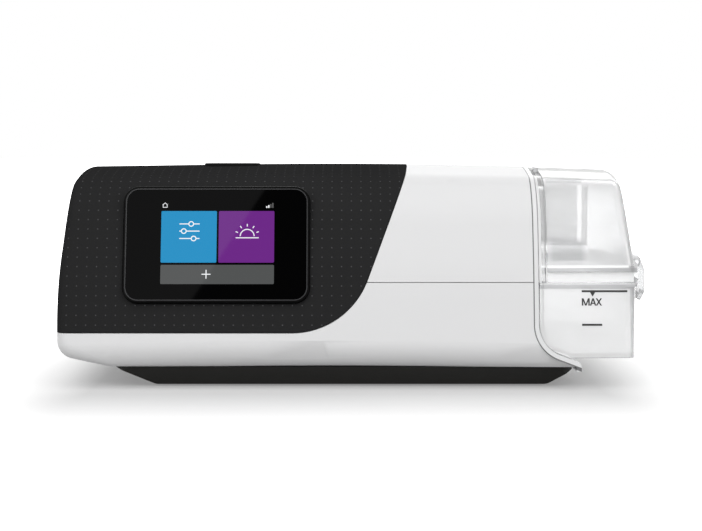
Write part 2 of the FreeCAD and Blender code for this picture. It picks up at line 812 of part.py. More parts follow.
base_shown = tub_form("base_shown", "0.3", "tub_floor", "tub_rim")
doc.recompute()
base_rounded = rounded("base_rounded", base_shown, "tub_corner",
                       lambda e: e.BoundBox.XMin > 100 and e.BoundBox.ZLength > 20)
base_room = tub_form("base_room", "0.3 + tub_wall", "tub_floor + tub_wall", "70", None, "tub_wall")
base_room_rounded = rounded("base_room_rounded", base_room, "tub_corner - tub_wall",
                            lambda e: e.BoundBox.XMin > 100 and e.BoundBox.ZLength > 20)
base_slide = tub_inner("base_slide", "5.9", "tub_left", "112", "tub_floor", "tub_rim")
base_slide_room = tub_inner("base_slide_room", "5.9 + tub_wall", "tub_left + tub_wall", "111",
                            "tub_floor + tub_wall", "70")
rim_form = tub_form("rim_form", "-0.6", "tub_rim - 1.5", "tub_rim")
tub_solid = joined("tub_solid", base_rounded, base_slide, rim_form)
plate_seat = block("plate_seat", "8", "66", "-44", "44", "tub_floor - 1", "tub_floor + 1")
plate_window = block("plate_window", "11", "63", "-41", "41", "tub_floor - 1", "tub_floor + 4")
keep("tub_base", without("tub_base", tub_solid, base_room_rounded, base_slide_room, plate_seat, plate_window))

exchange = new_body("tub_heat_plate")
pad(exchange, "exchange_flange", "XY", box_corners("8.1", "65.9", "-43.9", "43.9", "3"), "1", "tub_floor")
pad(exchange, "exchange_dish", "XY", box_corners("11.1", "62.9", "-40.9", "40.9", "2"),
    "0.6", "tub_floor + 1")
keep("tub_heat_plate", exchange)

cover_slide = tub_inner("cover_slide", "5.9", "tub_left", "75.2", "tub_rim", "120")
cover_room = tub_inner("cover_room", "5.9 + tub_wall", "tub_left + tub_wall", "90", "40", "120")
flange_form = shared("flange_form", crowned_dock("flange_sweep", "0.3"),
                     block("flange_zone", "75.2", "77.2", "-80", "80", "tub_rim", "hinge_height - 1.7"))
port_spigots = [rod("port_spigot_" + side, "x", "tub_left", y, z, "port_radius + 0.6", "9")
                for side, y, z in PORTS]
port_bores = [rod("port_bore_" + side, "x", "tub_left - 2", y, z, "port_radius - 0.9", "20")
              for side, y, z in PORTS]
KNUCKLES = [("-14", "6"), ("8", "6")]
cover_knuckles = [rod("cover_knuckle_%d" % i, "y", "hinge_place", y, "hinge_height", "1.4", long)
                  for i, (y, long) in enumerate(KNUCKLES)]
knuckle_webs = [block("knuckle_web_%d" % i, "75.2", "76.9", y, y + " + " + long,
                      "hinge_height - 4", "hinge_height")
                for i, (y, long) in enumerate(KNUCKLES)]
cover_hollow = without("cover_hollow", joined("cover_solid", cover_slide, flange_form), cover_room)
cover_all = joined("cover_all", cover_hollow, *(port_spigots + cover_knuckles + knuckle_webs))
lid_pin_bore = rod("lid_pin_bore", "y", "hinge_place", "-20", "hinge_height", "0.75", "40")
keep("tub_inner_cover", without("tub_inner_cover", cover_all, lid_pin_bore, *port_bores))

keep("lid_hinge_pin", rod("lid_hinge_pin", "y", "hinge_place", "-13.9", "hinge_height", "0.75", "27.8"))

# clear guide that leads the incoming air down to the water, seen through the lid
guide = new_body("tub_air_guide")
pad(guide, "guide_block", "XY", box_corners("77.2", "98", "-36", "-8", "3"), "26", "59")
pocket(guide, "guide_room", "XY", box_corners("75", "96.5", "-34.5", "-9.5", "1.6"), "24.6", "83.6")
keep("tub_air_guide", guide)

# --------------------------------------------------------------- lid and clip

lid_shown = tub_form("lid_shown", "0.3", "lid_low", "120", "lid_lean")
lid_rounded = rounded("lid_rounded", lid_shown, "tub_corner", near_tub_end)
lid_room = tub_form("lid_room", "0.3 + tub_wall", "lid_low - 10", "120", "lid_lean", "tub_wall")
lid_room_rounded = rounded("lid_room_rounded", lid_room, "tub_corner - tub_wall",
                           near_tub_end)
lid_rim_form = tub_form("lid_rim_form", "-0.6", "lid_low", "lid_low + 2.4")
lid_zone = block("lid_zone", "lid_left", "140", "-80", "80", "lid_low", "120")
lid_solid = shared("lid_solid", joined("lid_full", lid_rounded, lid_rim_form), lid_zone)
lid_shell = without("lid_shell", lid_solid, lid_room_rounded)
EAR = [
    ("112", "50.2"),
    ("clip_place + 1.2", "clip_height - 2"),
    ("clip_place + 1.9", "clip_height + 1.6"),
    ("clip_place - 1.6", "clip_height + 5.6"),
    ("110", "62"),
]
ear_outline = free_sketch("ear_outline", "XZ", EAR, "0")
ears_full = prism("ears_full", ear_outline, "XZ", "0.5*clip_wide + 2.6", "0.5*clip_wide + 2.6")
ears_gap = block("ears_gap", "100", "140", "-0.5*clip_wide - 0.35", "0.5*clip_wide + 0.35", "30", "70")
ears = without("ears", ears_full, ears_gap, lid_room_rounded)
clip_room = block("clip_room", "tub_end - 0.7", "140", "-0.5*clip_wide - 0.35", "0.5*clip_wide + 0.35",
                  "30", "70")
lid_knuckle = rod("lid_knuckle", "y", "hinge_place", "-7.7", "hinge_height", "1.4", "15.4")
lid_web = block("lid_web", "hinge_place", "lid_left + 1.2", "-7.7", "7.7",
                "hinge_height", "hinge_height + 1.3")
lid_bore = rod("lid_bore", "y", "hinge_place", "-20", "hinge_height", "0.82", "40")
clip_bore = rod("clip_bore", "y", "clip_place", "-30", "clip_height", "pin_radius", "60")
knuckle_room = [rod("knuckle_room_%d" % i, "y", "hinge_place", y + " - 0.3", "hinge_height",
                    "1.8", long + " + 0.6")
                for i, (y, long) in enumerate(KNUCKLES)]
lid_cut = without("lid_cut", joined("lid_walls", lid_shell, ears), clip_room, *knuckle_room)
keep("tub_lid", without("tub_lid", joined("lid_all", lid_cut, lid_knuckle, lid_web), lid_bore, clip_bore))

seal_outer = tub_form("seal_outer", "0.9", "tub_rim + 0.35", "lid_low", None, "0.6")
seal_inner = tub_form("seal_inner", "2.7", "tub_rim - 1", "lid_low + 1", None, "2.4")
seal_zone = block("seal_zone", "lid_left", "140", "-80", "80", "tub_rim", "120")
keep("lid_seal", shared("lid_seal", without("seal_ring", seal_outer, seal_inner), seal_zone))

clip_outline = free_sketch("clip_outline", "XZ", [
    ("clip_place - 0.9", "clip_height + 2.9", "0.6"),
    ("clip_place - 2.2", "clip_height + 0.6"),
    ("clip_place - 0.8", "clip_height - 2.8"),
    ("clip_place - 1", "clip_height - 8.2"),
    ("clip_place - 0.8", "clip_height - 9.6"),
    ("clip_place + 1.6", "clip_height - 8"),
    ("clip_place + 1.6", "clip_height - 13.9"),
    ("clip_place + 0.8", "clip_height - 17", "0.5"),
    ("clip_place + 2.2", "clip_height - 17.6", "0.6"),
    ("clip_place + 4.3", "clip_height - 13.4", "5"),
    ("clip_place + 4.3", "clip_height - 4", "7"),
    ("clip_place + 1.8", "clip_height + 2.4", "3"),
])
clip_prism = prism("clip_prism", clip_outline, "XZ", "0.5*clip_wide", "0.5*clip_wide")
clip_running_bore = rod("clip_running_bore", "y", "clip_place", "-30", "clip_height",
                        "pin_radius + 0.05", "60")
keep("tub_clip", without("tub_clip", clip_prism, clip_running_bore))
keep("clip_pin", rod("clip_pin", "y", "clip_place", "-0.5*clip_wide - 2.9", "clip_height",
                     "pin_radius - 0.01", "clip_wide + 5.8"))

# ------------------------------------------------------------- air inlet side

plenum = new_body("inlet_plenum")
pad(plenum, "plenum_box", "XY", box_corners("-86", "-14", "-42", "63", "4"), "23.8", "12.2")
pad(plenum, "plenum_feet", "XY", [], "1", "11.2", [
    ("-76", "-32", "4"), ("-24", "-32", "4"), ("-76", "50", "4"), ("-24", "50", "4")])
pocket(plenum, "plenum_room", "XY", box_corners("-84", "-16", "-40", "61", "3"), "19.8", "34")
pocket(plenum, "plenum_mouth", "XZ", box_corners("-76", "-36", "20.5", "33"), "10", "66")
pad(plenum, "mount_posts", "XY", [], "volute_low - 40", "36", [
    ("blower_place - 22", "blower_depth", "3"), ("blower_place + 11", "blower_depth + 19", "3"),
    ("blower_place + 11", "blower_depth - 19", "3")])
pocket(plenum, "bellows_hole", "XY", [], "6", "38", [("blower_place", "blower_depth", "10")])
keep("inlet_plenum", plenum)

foam = new_body("muffler_foam")
pad(foam, "foam_block", "XY", box_corners("-83.6", "-16.4", "-39.6", "54", "2.6"), "19.8", "14.2")
pocket(foam, "foam_channel", "XY", box_corners("-66", "-42", "-27", "60", "2"), "14", "34")
keep("muffler_foam", foam)

air_filter = new_body("air_filter")
pad(air_filter, "filter_pad", "XZ", box_corners("-77.6", "-34.4", "20.8", "34.2", "1"), "3.2", "66.2")
keep("air_filter", air_filter)

cover = new_body("filter_cover")
pad(cover, "cover_plate", "XZ", box_corners("-80.9", "-31.1", "18", "38.8", "0.6"), "1.5", "back_depth - 0.1")
pad(cover, "cover_pins", "YZ", [], "51.8", "-81.9", [("cover_axis_depth", "cover_axis_height", "cover_pin")])
for slot in range(6):
    left = "%g" % (-75.5 + slot * 6.8)
    pocket(cover, "louvre_%d" % slot, "XZ", box_corners(left, left + " + 4.2", "21.5", "32.5", "1.6"),
           "8", "72")
soften(cover, "cover_edge", "0.5", lambda e: e.BoundBox.YMin > amount("back_depth - 0.11")
       and e.BoundBox.XLength > 20)
keep("filter_cover", cover)

bellows = new_body("inlet_bellows")
pad(bellows, "bellows_wall", "XY", [], "volute_low - 34.1", "34.1",
    [("blower_place", "blower_depth", "9.9")])
for fold, fold_low in enumerate(("36", "40.6", "volute_low - 1.4")):
    pad(bellows, "bellows_fold_%d" % fold, "XY", [], "1.4", fold_low,
        [("blower_place", "blower_depth", "12")])
pocket(bellows, "bellows_bore", "XY", [], "40", "60", [("blower_place", "blower_depth", "8.4")])
keep("inlet_bellows", bellows)

# ------------------------------------------------------------------- blower
# The volute is a four-centre spiral: each quarter turn has a larger radius.


def spiral_face(grow):
    """Plan of the volute with its outlet, as a face."""
    centre = Vector(amount("blower_place"), amount("blower_depth"), 0)
    step = amount("volute_step")
    small = amount("volute_small") + grow
    edges = []
    spot = centre + Vector(small, 0, 0)
    first = spot
    pivot = centre
    heading = 0.0
    for turn in range(4):
        radius = small + step * turn
        pivot = spot - Vector(math.cos(heading), math.sin(heading), 0) * radius
        middle = pivot + Vector(math.cos(heading + math.pi / 4), math.sin(heading + math.pi / 4), 0) * radius
        end = pivot + Vector(math.cos(heading + math.pi / 2), math.sin(heading + math.pi / 2), 0) * radius
        if turn == 3:
            break
        edges.append(Part.Arc(spot, middle, end).toShape())
        spot = end
        heading += math.pi / 2
    mouth = amount("blower_place") + 40.0
    low = Vector(mouth, spot.y, 0)
    high = Vector(mouth, spot.y + 18.0 + 2 * grow, 0)
    inner = Vector(first.x, spot.y + 18.0 + 2 * grow, 0)
    edges += [Part.makeLine(spot, low), Part.makeLine(low, high), Part.makeLine(high, inner)]
    edges.append(Part.makeLine(inner, first))
    return Part.Face(Part.Wire(edges))


def volute_half(label, low, high, floor_side):
    """One half of the volute: a spiral tray, closed on the floor side."""
    thick = 1.8
    outer = spiral_face(0.0)
    outer.translate(Vector(0, 0, amount(low)))
    inner = spiral_face(-thick)
    solid = outer.extrude(Vector(0, 0, amount(high) - amount(low)))
    start = amount(low) + (thick if floor_side == "low" else -1.0)
    inner.translate(Vector(0, 0, start))
    room = inner.extrude(Vector(0, 0, amount(high) - amount(low) - thick + 1.0))
    mouth_corner = Vector(amount("blower_place") + 36.0, outer.BoundBox.YMin + thick, max(start, amount(low)))
    mouth = Part.makeBox(6, 18.0 - 2 * thick, amount(high) - amount(low) - thick, mouth_corner)
    solid = solid.cut(room).cut(mouth)
    eye = Part.makeCylinder(8.5 if floor_side == "low" else 5.1, 40,
                            Vector(amount("blower_place"), amount("blower_depth"), amount(low) - 10))
    feature = doc.addObject("Part::Feature", label)
    feature.Shape = solid.cut(eye)
    return keep(label, feature)


volute_half("volute_lower", "volute_low", "volute_low + 10", "low")
volute_half("volute_upper", "volute_low + 10", "volute_high", "high")

wheel = new_body("impeller")
place(wheel, "blower_place", "blower_depth", "volute_low + 2.6")
wheel_disc = pad(wheel, "wheel_disc", "XY", [], "1.4", "12.4", [("0", "0", "impeller_radius")])
pad(wheel, "wheel_hub", "XY", [], "12.6", "1.2", [("0", "0", "4.2")])
blade_sketch = body_sketch(wheel, "blade_sketch", "XY", "2")


def blade_arc(sweep, radius_in, radius_out, lead):
    """Points on one face of a backward-curved blade."""
    return [Vector(r * math.cos(lead + a), r * math.sin(lead + a), 0)
            for r, a in ((radius_in, 0.0), ((radius_in + radius_out) / 2, sweep * 0.62), (radius_out, sweep))]


pressure_face = blade_arc(-0.72, 8.0, amount("impeller_radius") - 0.3, 0.0)
suction_face = blade_arc(-0.72, 8.0, amount("impeller_radius") - 0.3, 0.085)
blade_sketch.addGeometry(Part.Arc(*pressure_face))
blade_sketch.addGeometry(Part.LineSegment(pressure_face[2], suction_face[2]))
blade_sketch.addGeometry(Part.Arc(*reversed(suction_face)))
blade_sketch.addGeometry(Part.LineSegment(suction_face[0], pressure_face[0]))
for index in range(4):
    blade_sketch.addConstraint(Sketcher.Constraint("Block", index))
blade = wheel.newObject("PartDesign::Pad", "blade")
blade.Profile = blade_sketch
bind(blade, Length="10.6")
doc.recompute()
ring_of(wheel, blade, 11)
pocket(wheel, "wheel_bore", "XY", [], "30", "20", [("0", "0", "shaft_radius + 0.01")])
keep("impeller", wheel)

keep("rotor_shaft", rod("rotor_shaft", "z", "blower_place", "blower_depth", "volute_low + 4",
                        "shaft_radius", "28"))
keep("rotor_magnet", tube("rotor_magnet", "z", "blower_place", "blower_depth", "volute_high + 2.6", "6",
                          "shaft_radius + 0.01", "5"))

can = new_body("motor_can")
place(can, "blower_place", "blower_depth", "volute_high")
pad(can, "can_wall", "XY", [], "12.8", "0", [("0", "0", "14")])
pad(can, "can_flange", "XY", [], "1.2", "0", [("0", "0", "18")])
pocket(can, "can_room", "XY", [], "11.4", "11.4", [("0", "0", "12.8")])
pocket(can, "can_top_bore", "XY", [], "4", "13.8", [("0", "0", "3")])
keep("motor_can", can)
stator = new_body("motor_stator")
place(stator, "blower_place", "blower_depth", "volute_high + 2.4")
pad(stator, "stator_core", "XY", [], "5.6", "0", [("0", "0", "12.8")])
pocket(stator, "stator_bore", "XY", [], "9", "8", [("0", "0", "6.5")])
coil_slot = pocket(stator, "coil_slot", "XY", box_corners("6", "10.6", "-0.7", "0.7"), "9", "8")
ring_of(stator, coil_slot, 9)
keep("motor_stator", stator)
bearing_low = tube("bearing_low", "z", "blower_place", "blower_depth", "volute_high - 1.6", "5.1",
                   "shaft_radius + 0.02", "2.4")
bearing_high = tube("bearing_high", "z", "blower_place", "blower_depth", "volute_high + 11.5", "3.0",
                    "shaft_radius + 0.02", "1.3")
keep("motor_bearings", joined("motor_bearings", bearing_low, bearing_high))

mounts = new_body("blower_mounts")
pad(mounts, "mount_pads", "XY", [], "4", "volute_low - 4", [
    ("blower_place - 22", "blower_depth", "4"), ("blower_place + 11", "blower_depth + 19", "4"),
    ("blower_place + 11", "blower_depth - 19", "4")])
keep("blower_mounts", mounts)

# ---------------------------------------------------------------- air outlet

boot = new_body("blower_boot")
pad(boot, "boot_sleeve", "YZ", [], "6", "-14", [("port_in", "port_low", "9.6")])
pocket(boot, "boot_bore", "YZ", [], "12", "-4", [("port_in", "port_low", "7.6")])
keep("blower_boot", boot)


def elbow(name, radius):
    """A pipe from the dock wall that turns towards the back."""
    run = rod(name + "_run", "x", "outlet_place + 14", "port_out", "port_height", radius,
              "-8 - outlet_place - 14")
    bend = doc.addObject("Part::Torus", name + "_bend")
    bind(bend, Radius1="14", Radius2=radius)
    bend.Angle3 = 90
    bend.Placement = Placement(Vector(0, 0, 0), Rotation(Vector(0, 0, 1), 180))
    place(bend, "outlet_place + 14", "port_out + 14", "port_height")
    tail = rod(name + "_tail", "y", "outlet_place", "port_out + 14", "port_height", radius,
               "outlet_end - port_out - 14")
    return joined(name, run, bend, tail)


# the hose's cuff slides over the neck up to a shoulder, which is level with the socket's floor
neck = rod("outlet_neck", "y", "outlet_place", "outlet_shoulder", "port_height", "outlet_radius",
           "outlet_end - outlet_shoulder")
elbow_wall = joined("elbow_outer", elbow("elbow_wall", "outlet_radius - 0.3"), neck)
keep("air_outlet", without("air_outlet", elbow_wall, elbow("elbow_room", "outlet_bore")))

socket_cup = rod("socket_cup", "y", "outlet_place", "46.4", "port_height", "socket_outer", "30")
socket_room = rod("socket_room", "y", "outlet_place", "outlet_shoulder", "port_height", "socket_inner", "40")
socket_neck = rod("socket_neck", "y", "outlet_place", "40", "port_height", "outlet_radius - 0.3", "20")
socket_solid = shared("socket_solid", socket_cup, outer_form)
keep("outlet_socket", without("outlet_socket", socket_solid, socket_room, socket_neck))

contacts = new_body("tube_contacts")
pad(contacts, "contact_block", "XZ", box_corners("outlet_place - 5", "outlet_place + 5", "port_height + 12.6",
    "port_height + 16", "0.8"), "14", "62")
for pin in range(3):
    pin_x = "outlet_place + %g" % (-3 + 3 * pin)
    pad(contacts, "contact_pin_%d" % pin, "XZ", [], "4", "65", [(pin_x, "port_height + 14.3", "0.6")])
keep("tube_contacts", contacts)

# --------------------------------------------------------------- electronics

board = new_body("main_board")
pad(board, "board_sheet", "XY", box_corners("-119", "-88", "-46", "60", "2"),
    "board_top - board_low", "board_low")
pocket(board, "board_holes", "XY", [], "6", "31", [
    ("-115", "-42", "1.6"), ("-115", "52", "1.6"), ("-92", "-42", "1.6"), ("-92", "40", "1.6")])
for chip, (chip_x, chip_y, chip_w, chip_d, chip_t) in enumerate([
        (-104, -30, 12, 12, 1.6), (-98, -6, 7, 10, 1.8), (-106, 32, 14, 9, 6.0), (-95, 24, 8, 8, 8.0)]):
    pad(board, "chip_%d" % chip, "XY", box_corners(
        "%g" % (chip_x - chip_w / 2), "%g" % (chip_x + chip_w / 2),
        "%g" % (chip_y - chip_d / 2), "%g" % (chip_y + chip_d / 2)), "%g" % chip_t, "board_top")
keep("main_board", board)

card = new_body("card_socket")
pad(card, "card_frame", "XY", box_corners("-128.6", "-110.6", "-9", "17", "0.6"), "4.4", "board_top")
pocket(card, "card_gap", "YZ", box_corners("-7.8", "15.8", "30.2", "32.6"), "17", "-112")
keep("card_socket", card)

jack = new_body("power_jack")
pad(jack, "jack_block", "XZ", box_corners("-108.4", "-93.6", "board_top", "42.4", "0.8"), "20", "68.2")
pocket(jack, "jack_bore", "XZ", [], "15", "70", [("-101", "35.8", "4.4")])
pad(jack, "jack_pin", "XZ", [], "11", "65.5", [("-101", "35.8", "1.1")])
keep("power_jack", jack)

card_door = new_body("card_cover")
pad(card_door, "door_plate", "YZ", box_corners("-12", "20", "25.5", "40.7", "1"), "1.3", "left_end + 0.2")
pad(card_door, "door_plug", "YZ", box_corners("-8.6", "16.6", "28.3", "37.1", "0.8"), "1.6", "left_end + 1.5")
pad(card_door, "door_pins", "XZ", [], "34", "21", [("card_axis_place", "card_axis_height", "cover_pin")])
soften(card_door, "door_edge", "0.4", lambda e: e.BoundBox.XMax < amount("left_end") + 0.21)
keep("card_cover", card_door)

sensor = new_body("flow_sensor")
pad(sensor, "sensor_block", "XY", box_corners("-27", "-15.5", "-38", "-24", "0.8"), "5", "volute_high")
pad(sensor, "sensor_tubes", "XY", [], "4", "volute_high + 5",
    [("-24", "-31", "1.4"), ("-18.5", "-31", "1.4")])
keep("flow_sensor", sensor)

aerial = new_body("radio_board")
pad(aerial, "aerial_sheet", "XZ", box_corners("-117", "-90", "board_top", "60", "1.5"), "1.2", "44")
pad(aerial, "aerial_can", "XZ", box_corners("-112", "-95", "38", "54", "0.6"), "2.2", "42.8")
keep("radio_board", aerial)

ribbon = new_body("display_ribbon")
pad(ribbon, "ribbon_fall", "XZ", box_corners("-110", "-102", "29.4", "52"), "0.3", "-44")
pad(ribbon, "ribbon_foot", "XY", box_corners("-110", "-102", "-44.3", "-38"),
    "0.3", "board_top")
keep("display_ribbon", ribbon)

# ----------------------------------------------------------------- fastenings


def screw_group(label, spots, low, length, head):
    """Identical pan-head screws standing upright, as separate solids."""
    body = doc.addObject("Part::MultiFuse", label)
    solids = []
    for i, (x, y) in enumerate(spots):
        shank = rod("%s_shank_%d" % (label, i), "z", x, y, low, "1.4", length)
        if head == "below":
            top = rod("%s_head_%d" % (label, i), "z", x, y, low + " - 1.8", "2.7", "1.8")
        else:
            top = rod("%s_head_%d" % (label, i), "z", x, y, low + " + " + length, "2.7", "1.8")
        solids.append(joined("%s_%d" % (label, i), shank, top))
    body.Shapes = solids
    return keep(label, body)


screw_group("board_screws", BOARD_SCREWS, "22", "7.2", "above")

# --------------------------------------------------------- test and write out

doc.recompute()
for item in doc.Objects:
    assert "Invalid" not in item.State and "Error" not in item.State, item.Name + " failed"
for label, item in NODES.items():
    assert not item.Shape.isNull() and item.Shape.isValid(), label + " is not a valid shape"
    assert item.Shape.Volume > 0.0, label + " has no volume"

os.makedirs("parts", exist_ok=True)
for label, item in NODES.items():
    placed = item.Shape.copy()
    placed.translate(Vector(amount("frame_shift"), 0, 0))
    placed.exportStep("parts/%s.step" % label)
print(len(NODES), "sub-parts written")
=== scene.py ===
import bpy
import bmesh
import math
from mathutils import Matrix, Vector


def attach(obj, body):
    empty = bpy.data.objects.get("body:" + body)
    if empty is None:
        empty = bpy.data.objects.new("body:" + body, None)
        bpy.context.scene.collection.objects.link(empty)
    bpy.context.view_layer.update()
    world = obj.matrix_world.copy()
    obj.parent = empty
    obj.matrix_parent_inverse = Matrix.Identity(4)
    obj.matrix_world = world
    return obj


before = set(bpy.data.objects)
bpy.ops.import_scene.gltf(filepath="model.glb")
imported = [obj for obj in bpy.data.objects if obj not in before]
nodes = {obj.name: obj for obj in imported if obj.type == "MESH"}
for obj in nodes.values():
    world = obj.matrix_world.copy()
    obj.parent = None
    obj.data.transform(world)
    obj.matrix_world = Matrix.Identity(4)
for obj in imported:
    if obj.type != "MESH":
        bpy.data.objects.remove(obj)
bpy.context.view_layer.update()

mm = 0.001
# distances along X are measured from the drawing's own origin, which is this far right of the frame's origin
drawnX = 3.0
print("frame loaded:", len(nodes), "nodes")


# small helpers

def clearSelection():
    if bpy.context.object and bpy.context.object.mode != "OBJECT":
        bpy.ops.object.mode_set(mode="OBJECT")
    bpy.ops.object.select_all(action="DESELECT")


def selectOnly(piece):
    clearSelection()
    piece.select_set(True)
    bpy.context.view_layer.objects.active = piece


def bakePlace(piece, matrix=None):
    # the finished piece keeps its place in its mesh, with the object at the origin
    bpy.context.view_layer.update()
    piece.data.transform((matrix or Matrix.Identity(4)) @ piece.matrix_world)
    piece.matrix_world = Matrix.Identity(4)
    piece.data.update()
    return piece


def joinPieces(name, pieces):
    clearSelection()
    for piece in pieces:
        piece.select_set(True)
    bpy.context.view_layer.objects.active = pieces[0]
    bpy.ops.object.join()
    whole = bpy.context.object
    whole.name = name
    whole.data.name = name
    return whole


def setMaterial(piece, material):
    piece.data.materials.clear()
    piece.data.materials.append(material)


def finishPiece(piece, material, body):
    setMaterial(piece, material)
    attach(piece, body)
    return piece


def newGroup(name, inputs, outputs):
    # a group whose inputs and outputs are all plain values
    group = bpy.data.node_groups.new(name, "ShaderNodeTree")
    for side, labels in (("INPUT", inputs), ("OUTPUT", outputs)):
        for label in labels:
            group.interface.new_socket(name=label, in_out=side, socket_type="NodeSocketFloat")
    return group, group.nodes.new("NodeGroupInput"), group.nodes.new("NodeGroupOutput")


def math2(tree, operation, first, second=None):
    node = tree.nodes.new("ShaderNodeMath")
    node.operation = operation
    for socket, value in zip(node.inputs, (first, second)):
        if isinstance(value, (int, float)):
            socket.default_value = value
        elif value is not None:
            tree.links.new(value, socket)
    return node.outputs[0]


def foldTogether(tree, operation, values):
    # one operation carried through a whole list
    total = values[0]
    for value in values[1:]:
        total = math2(tree, operation, total, value)
    return total


def rootOfSquares(tree, first, second):
    squares = [math2(tree, "MULTIPLY", value, value) for value in (first, second)]
    return math2(tree, "SQRT", foldTogether(tree, "ADD", squares))


def clampedRange(tree, value, low, high, toLow, toHigh):
    node = tree.nodes.new("ShaderNodeMapRange")
    tree.links.new(value, node.inputs["Value"])
    for label, number in (("From Min", low), ("From Max", high), ("To Min", toLow), ("To Max", toHigh)):
        node.inputs[label].default_value = number
    return node.outputs["Result"]


def coordinateAxes(tree, output="Object"):
    # the X, Y and Z values of a texture coordinate
    place = tree.nodes.new("ShaderNodeTexCoord")
    axes = tree.nodes.new("ShaderNodeSeparateXYZ")
    tree.links.new(place.outputs[output], axes.inputs[0])
    return axes.outputs


# camera and light

camera = {
    "place": ((drawnX - 5.5) * mm, -819.25 * mm, 104.9 * mm),
    "pitch": 4.0,
    "lens": 92.07,
    "sensor": 36.0,
    "clipStart": 0.01,
}


def makeCamera():
    data = bpy.data.cameras.new("camera")
    data.lens = camera["lens"]
    data.sensor_width = camera["sensor"]
    data.clip_start = camera["clipStart"]
    view = bpy.data.objects.new("camera", data)
    view.location = camera["place"]
    view.rotation_euler = (math.radians(90 - camera["pitch"]), 0, 0)
    bpy.context.scene.collection.objects.link(view)
    bpy.context.scene.camera = view


# places and sizes in m, powers in W, turns in degrees
studio = {
    "lampAim": (0.0, 0.0, 0.05),
    "topPlace": (0.0, -0.55, 1.15),
    "topSize": (1.9, 1.3),
    "topPower": 5.9,
    "leftPlace": (-1.2, -1.3, 0.75),
    "leftPower": 5.0,
    "rightPlace": (1.2, -1.25, 0.7),
    "rightPower": 5.6,
    "sideSize": 1.0,
    "backPlace": (0.3, 1.3, 0.9),
    "backPower": 4.0,
    "cardPlace": (-0.313, -1.376, 0.782),
    "cardAim": (-0.0595, -0.0603, 0.0608),
    "cardSize": (0.35, 0.34),
    "cardTurn": -28.7,
    "cardPower": 2.5,
    "worldLevel": 0.38,
    "floorSize": 12.0,
    "floorBack": 3.0,
    "floorDrop": 0.0003,
    "floorTone": 0.55,
    "floorRoughness": 0.9,
    "floorSpecular": 0.1,
    "footLeft": -0.112,
    "footRight": 0.103,
    "footDepth": 0.080,
    "sideFade": 2.6,
    "fadeReach": 0.34,
    # the low glow near the footprint leaves painted shade around the object
    "nearGlow": 0.24,
    "farGlow": 2.0,
}


def areaLight(name, place, size, power, target=studio["lampAim"]):
    data = bpy.data.lights.new(name, "AREA")
    data.shape = "RECTANGLE"
    data.size, data.size_y = size
    data.energy = power
    lamp = bpy.data.objects.new(name, data)
    lamp.location = place
    aim = Vector(target) - Vector(place)
    lamp.rotation_euler = aim.to_track_quat("-Z", "Y").to_euler()
    bpy.context.scene.collection.objects.link(lamp)
    return lamp


def whiteToViewer(tree, low, high):
    # one value for light that reaches the object, another for camera, mirror and glass rays
    path = tree.nodes.new("ShaderNodeLightPath")
    rays = [path.outputs[label] for label in ("Is Camera Ray", "Is Glossy Ray", "Is Transmission Ray")]
    return clampedRange(tree, foldTogether(tree, "MAXIMUM", rays), 0.0, 1.0, low, high)


def makeWorld():
    world = bpy.data.worlds.new("studioWorld")
    world.use_nodes = True
    bpy.context.scene.world = world
    tree = world.node_tree
    background = tree.nodes["Background"]
    background.inputs["Color"].default_value = (1, 1, 1, 1)
    tree.links.new(whiteToViewer(tree, studio["worldLevel"], 1.0), background.inputs["Strength"])


def makeFloor():
    clearSelection()
    place = (0, studio["floorBack"], -studio["floorDrop"])
    bpy.ops.mesh.primitive_plane_add(size=studio["floorSize"], location=place)
    floor = bpy.context.object
    floor.name = "floor"
    paper = bpy.data.materials.new("floorPaper")
    paper.use_nodes = True
    tree = paper.node_tree
    shader = tree.nodes["Principled BSDF"]
    tone = studio["floorTone"]
    shader.inputs["Base Color"].default_value = (tone, tone, tone, 1)
    shader.inputs["Roughness"].default_value = studio["floorRoughness"]
    shader.inputs["Specular IOR Level"].default_value = studio["floorSpecular"]
    shader.inputs["Emission Color"].default_value = (1, 1, 1, 1)
    # the paper glows less near the object's footprint, a painted shade added to the lamps' real shadow, and fades
    # to pure white further away
    axes = coordinateAxes(tree)
    toLeft = math2(tree, "SUBTRACT", studio["footLeft"], axes["X"])
    toRight = math2(tree, "SUBTRACT", axes["X"], studio["footRight"])
    depth = math2(tree, "ABSOLUTE", math2(tree, "ADD", axes["Y"], studio["floorBack"]))
    outY = math2(tree, "MAXIMUM", math2(tree, "SUBTRACT", depth, studio["footDepth"]), 0.0)
    outX = math2(tree, "MAXIMUM", math2(tree, "MAXIMUM", toLeft, toRight), 0.0)
    outX = math2(tree, "MULTIPLY", outX, studio["sideFade"])
    away = rootOfSquares(tree, outX, outY)
    fade = clampedRange(tree, away, 0.0, studio["fadeReach"], studio["nearGlow"], studio["farGlow"])
    glow = math2(tree, "MULTIPLY", whiteToViewer(tree, 0.0, 1.0), fade)
    tree.links.new(glow, shader.inputs["Emission Strength"])
    setMaterial(floor, paper)


def makeLamps():
    side = (studio["sideSize"], studio["sideSize"])
    areaLight("topLight", studio["topPlace"], studio["topSize"], studio["topPower"])
    areaLight("leftLight", studio["leftPlace"], side, studio["leftPower"])
    areaLight("rightLight", studio["rightPlace"], side, studio["rightPower"])
    areaLight("backLight", studio["backPlace"], side, studio["backPower"])
    # a card whose slanting edge is mirrored across the display's glass
    card = areaLight("glareCard", studio["cardPlace"], studio["cardSize"], studio["cardPower"], studio["cardAim"])
    card.rotation_euler.rotate_axis("Z", math.radians(studio["cardTurn"]))


makeCamera()
makeWorld()
makeFloor()
makeLamps()
bpy.context.scene.view_settings.view_transform = "Standard"
print("camera and studio ready")


# shader groups

grainForm = {"fineDetail": 3.0, "slowScale": 22.0, "slowDetail": 4.0, "depth": 0.04 * mm}


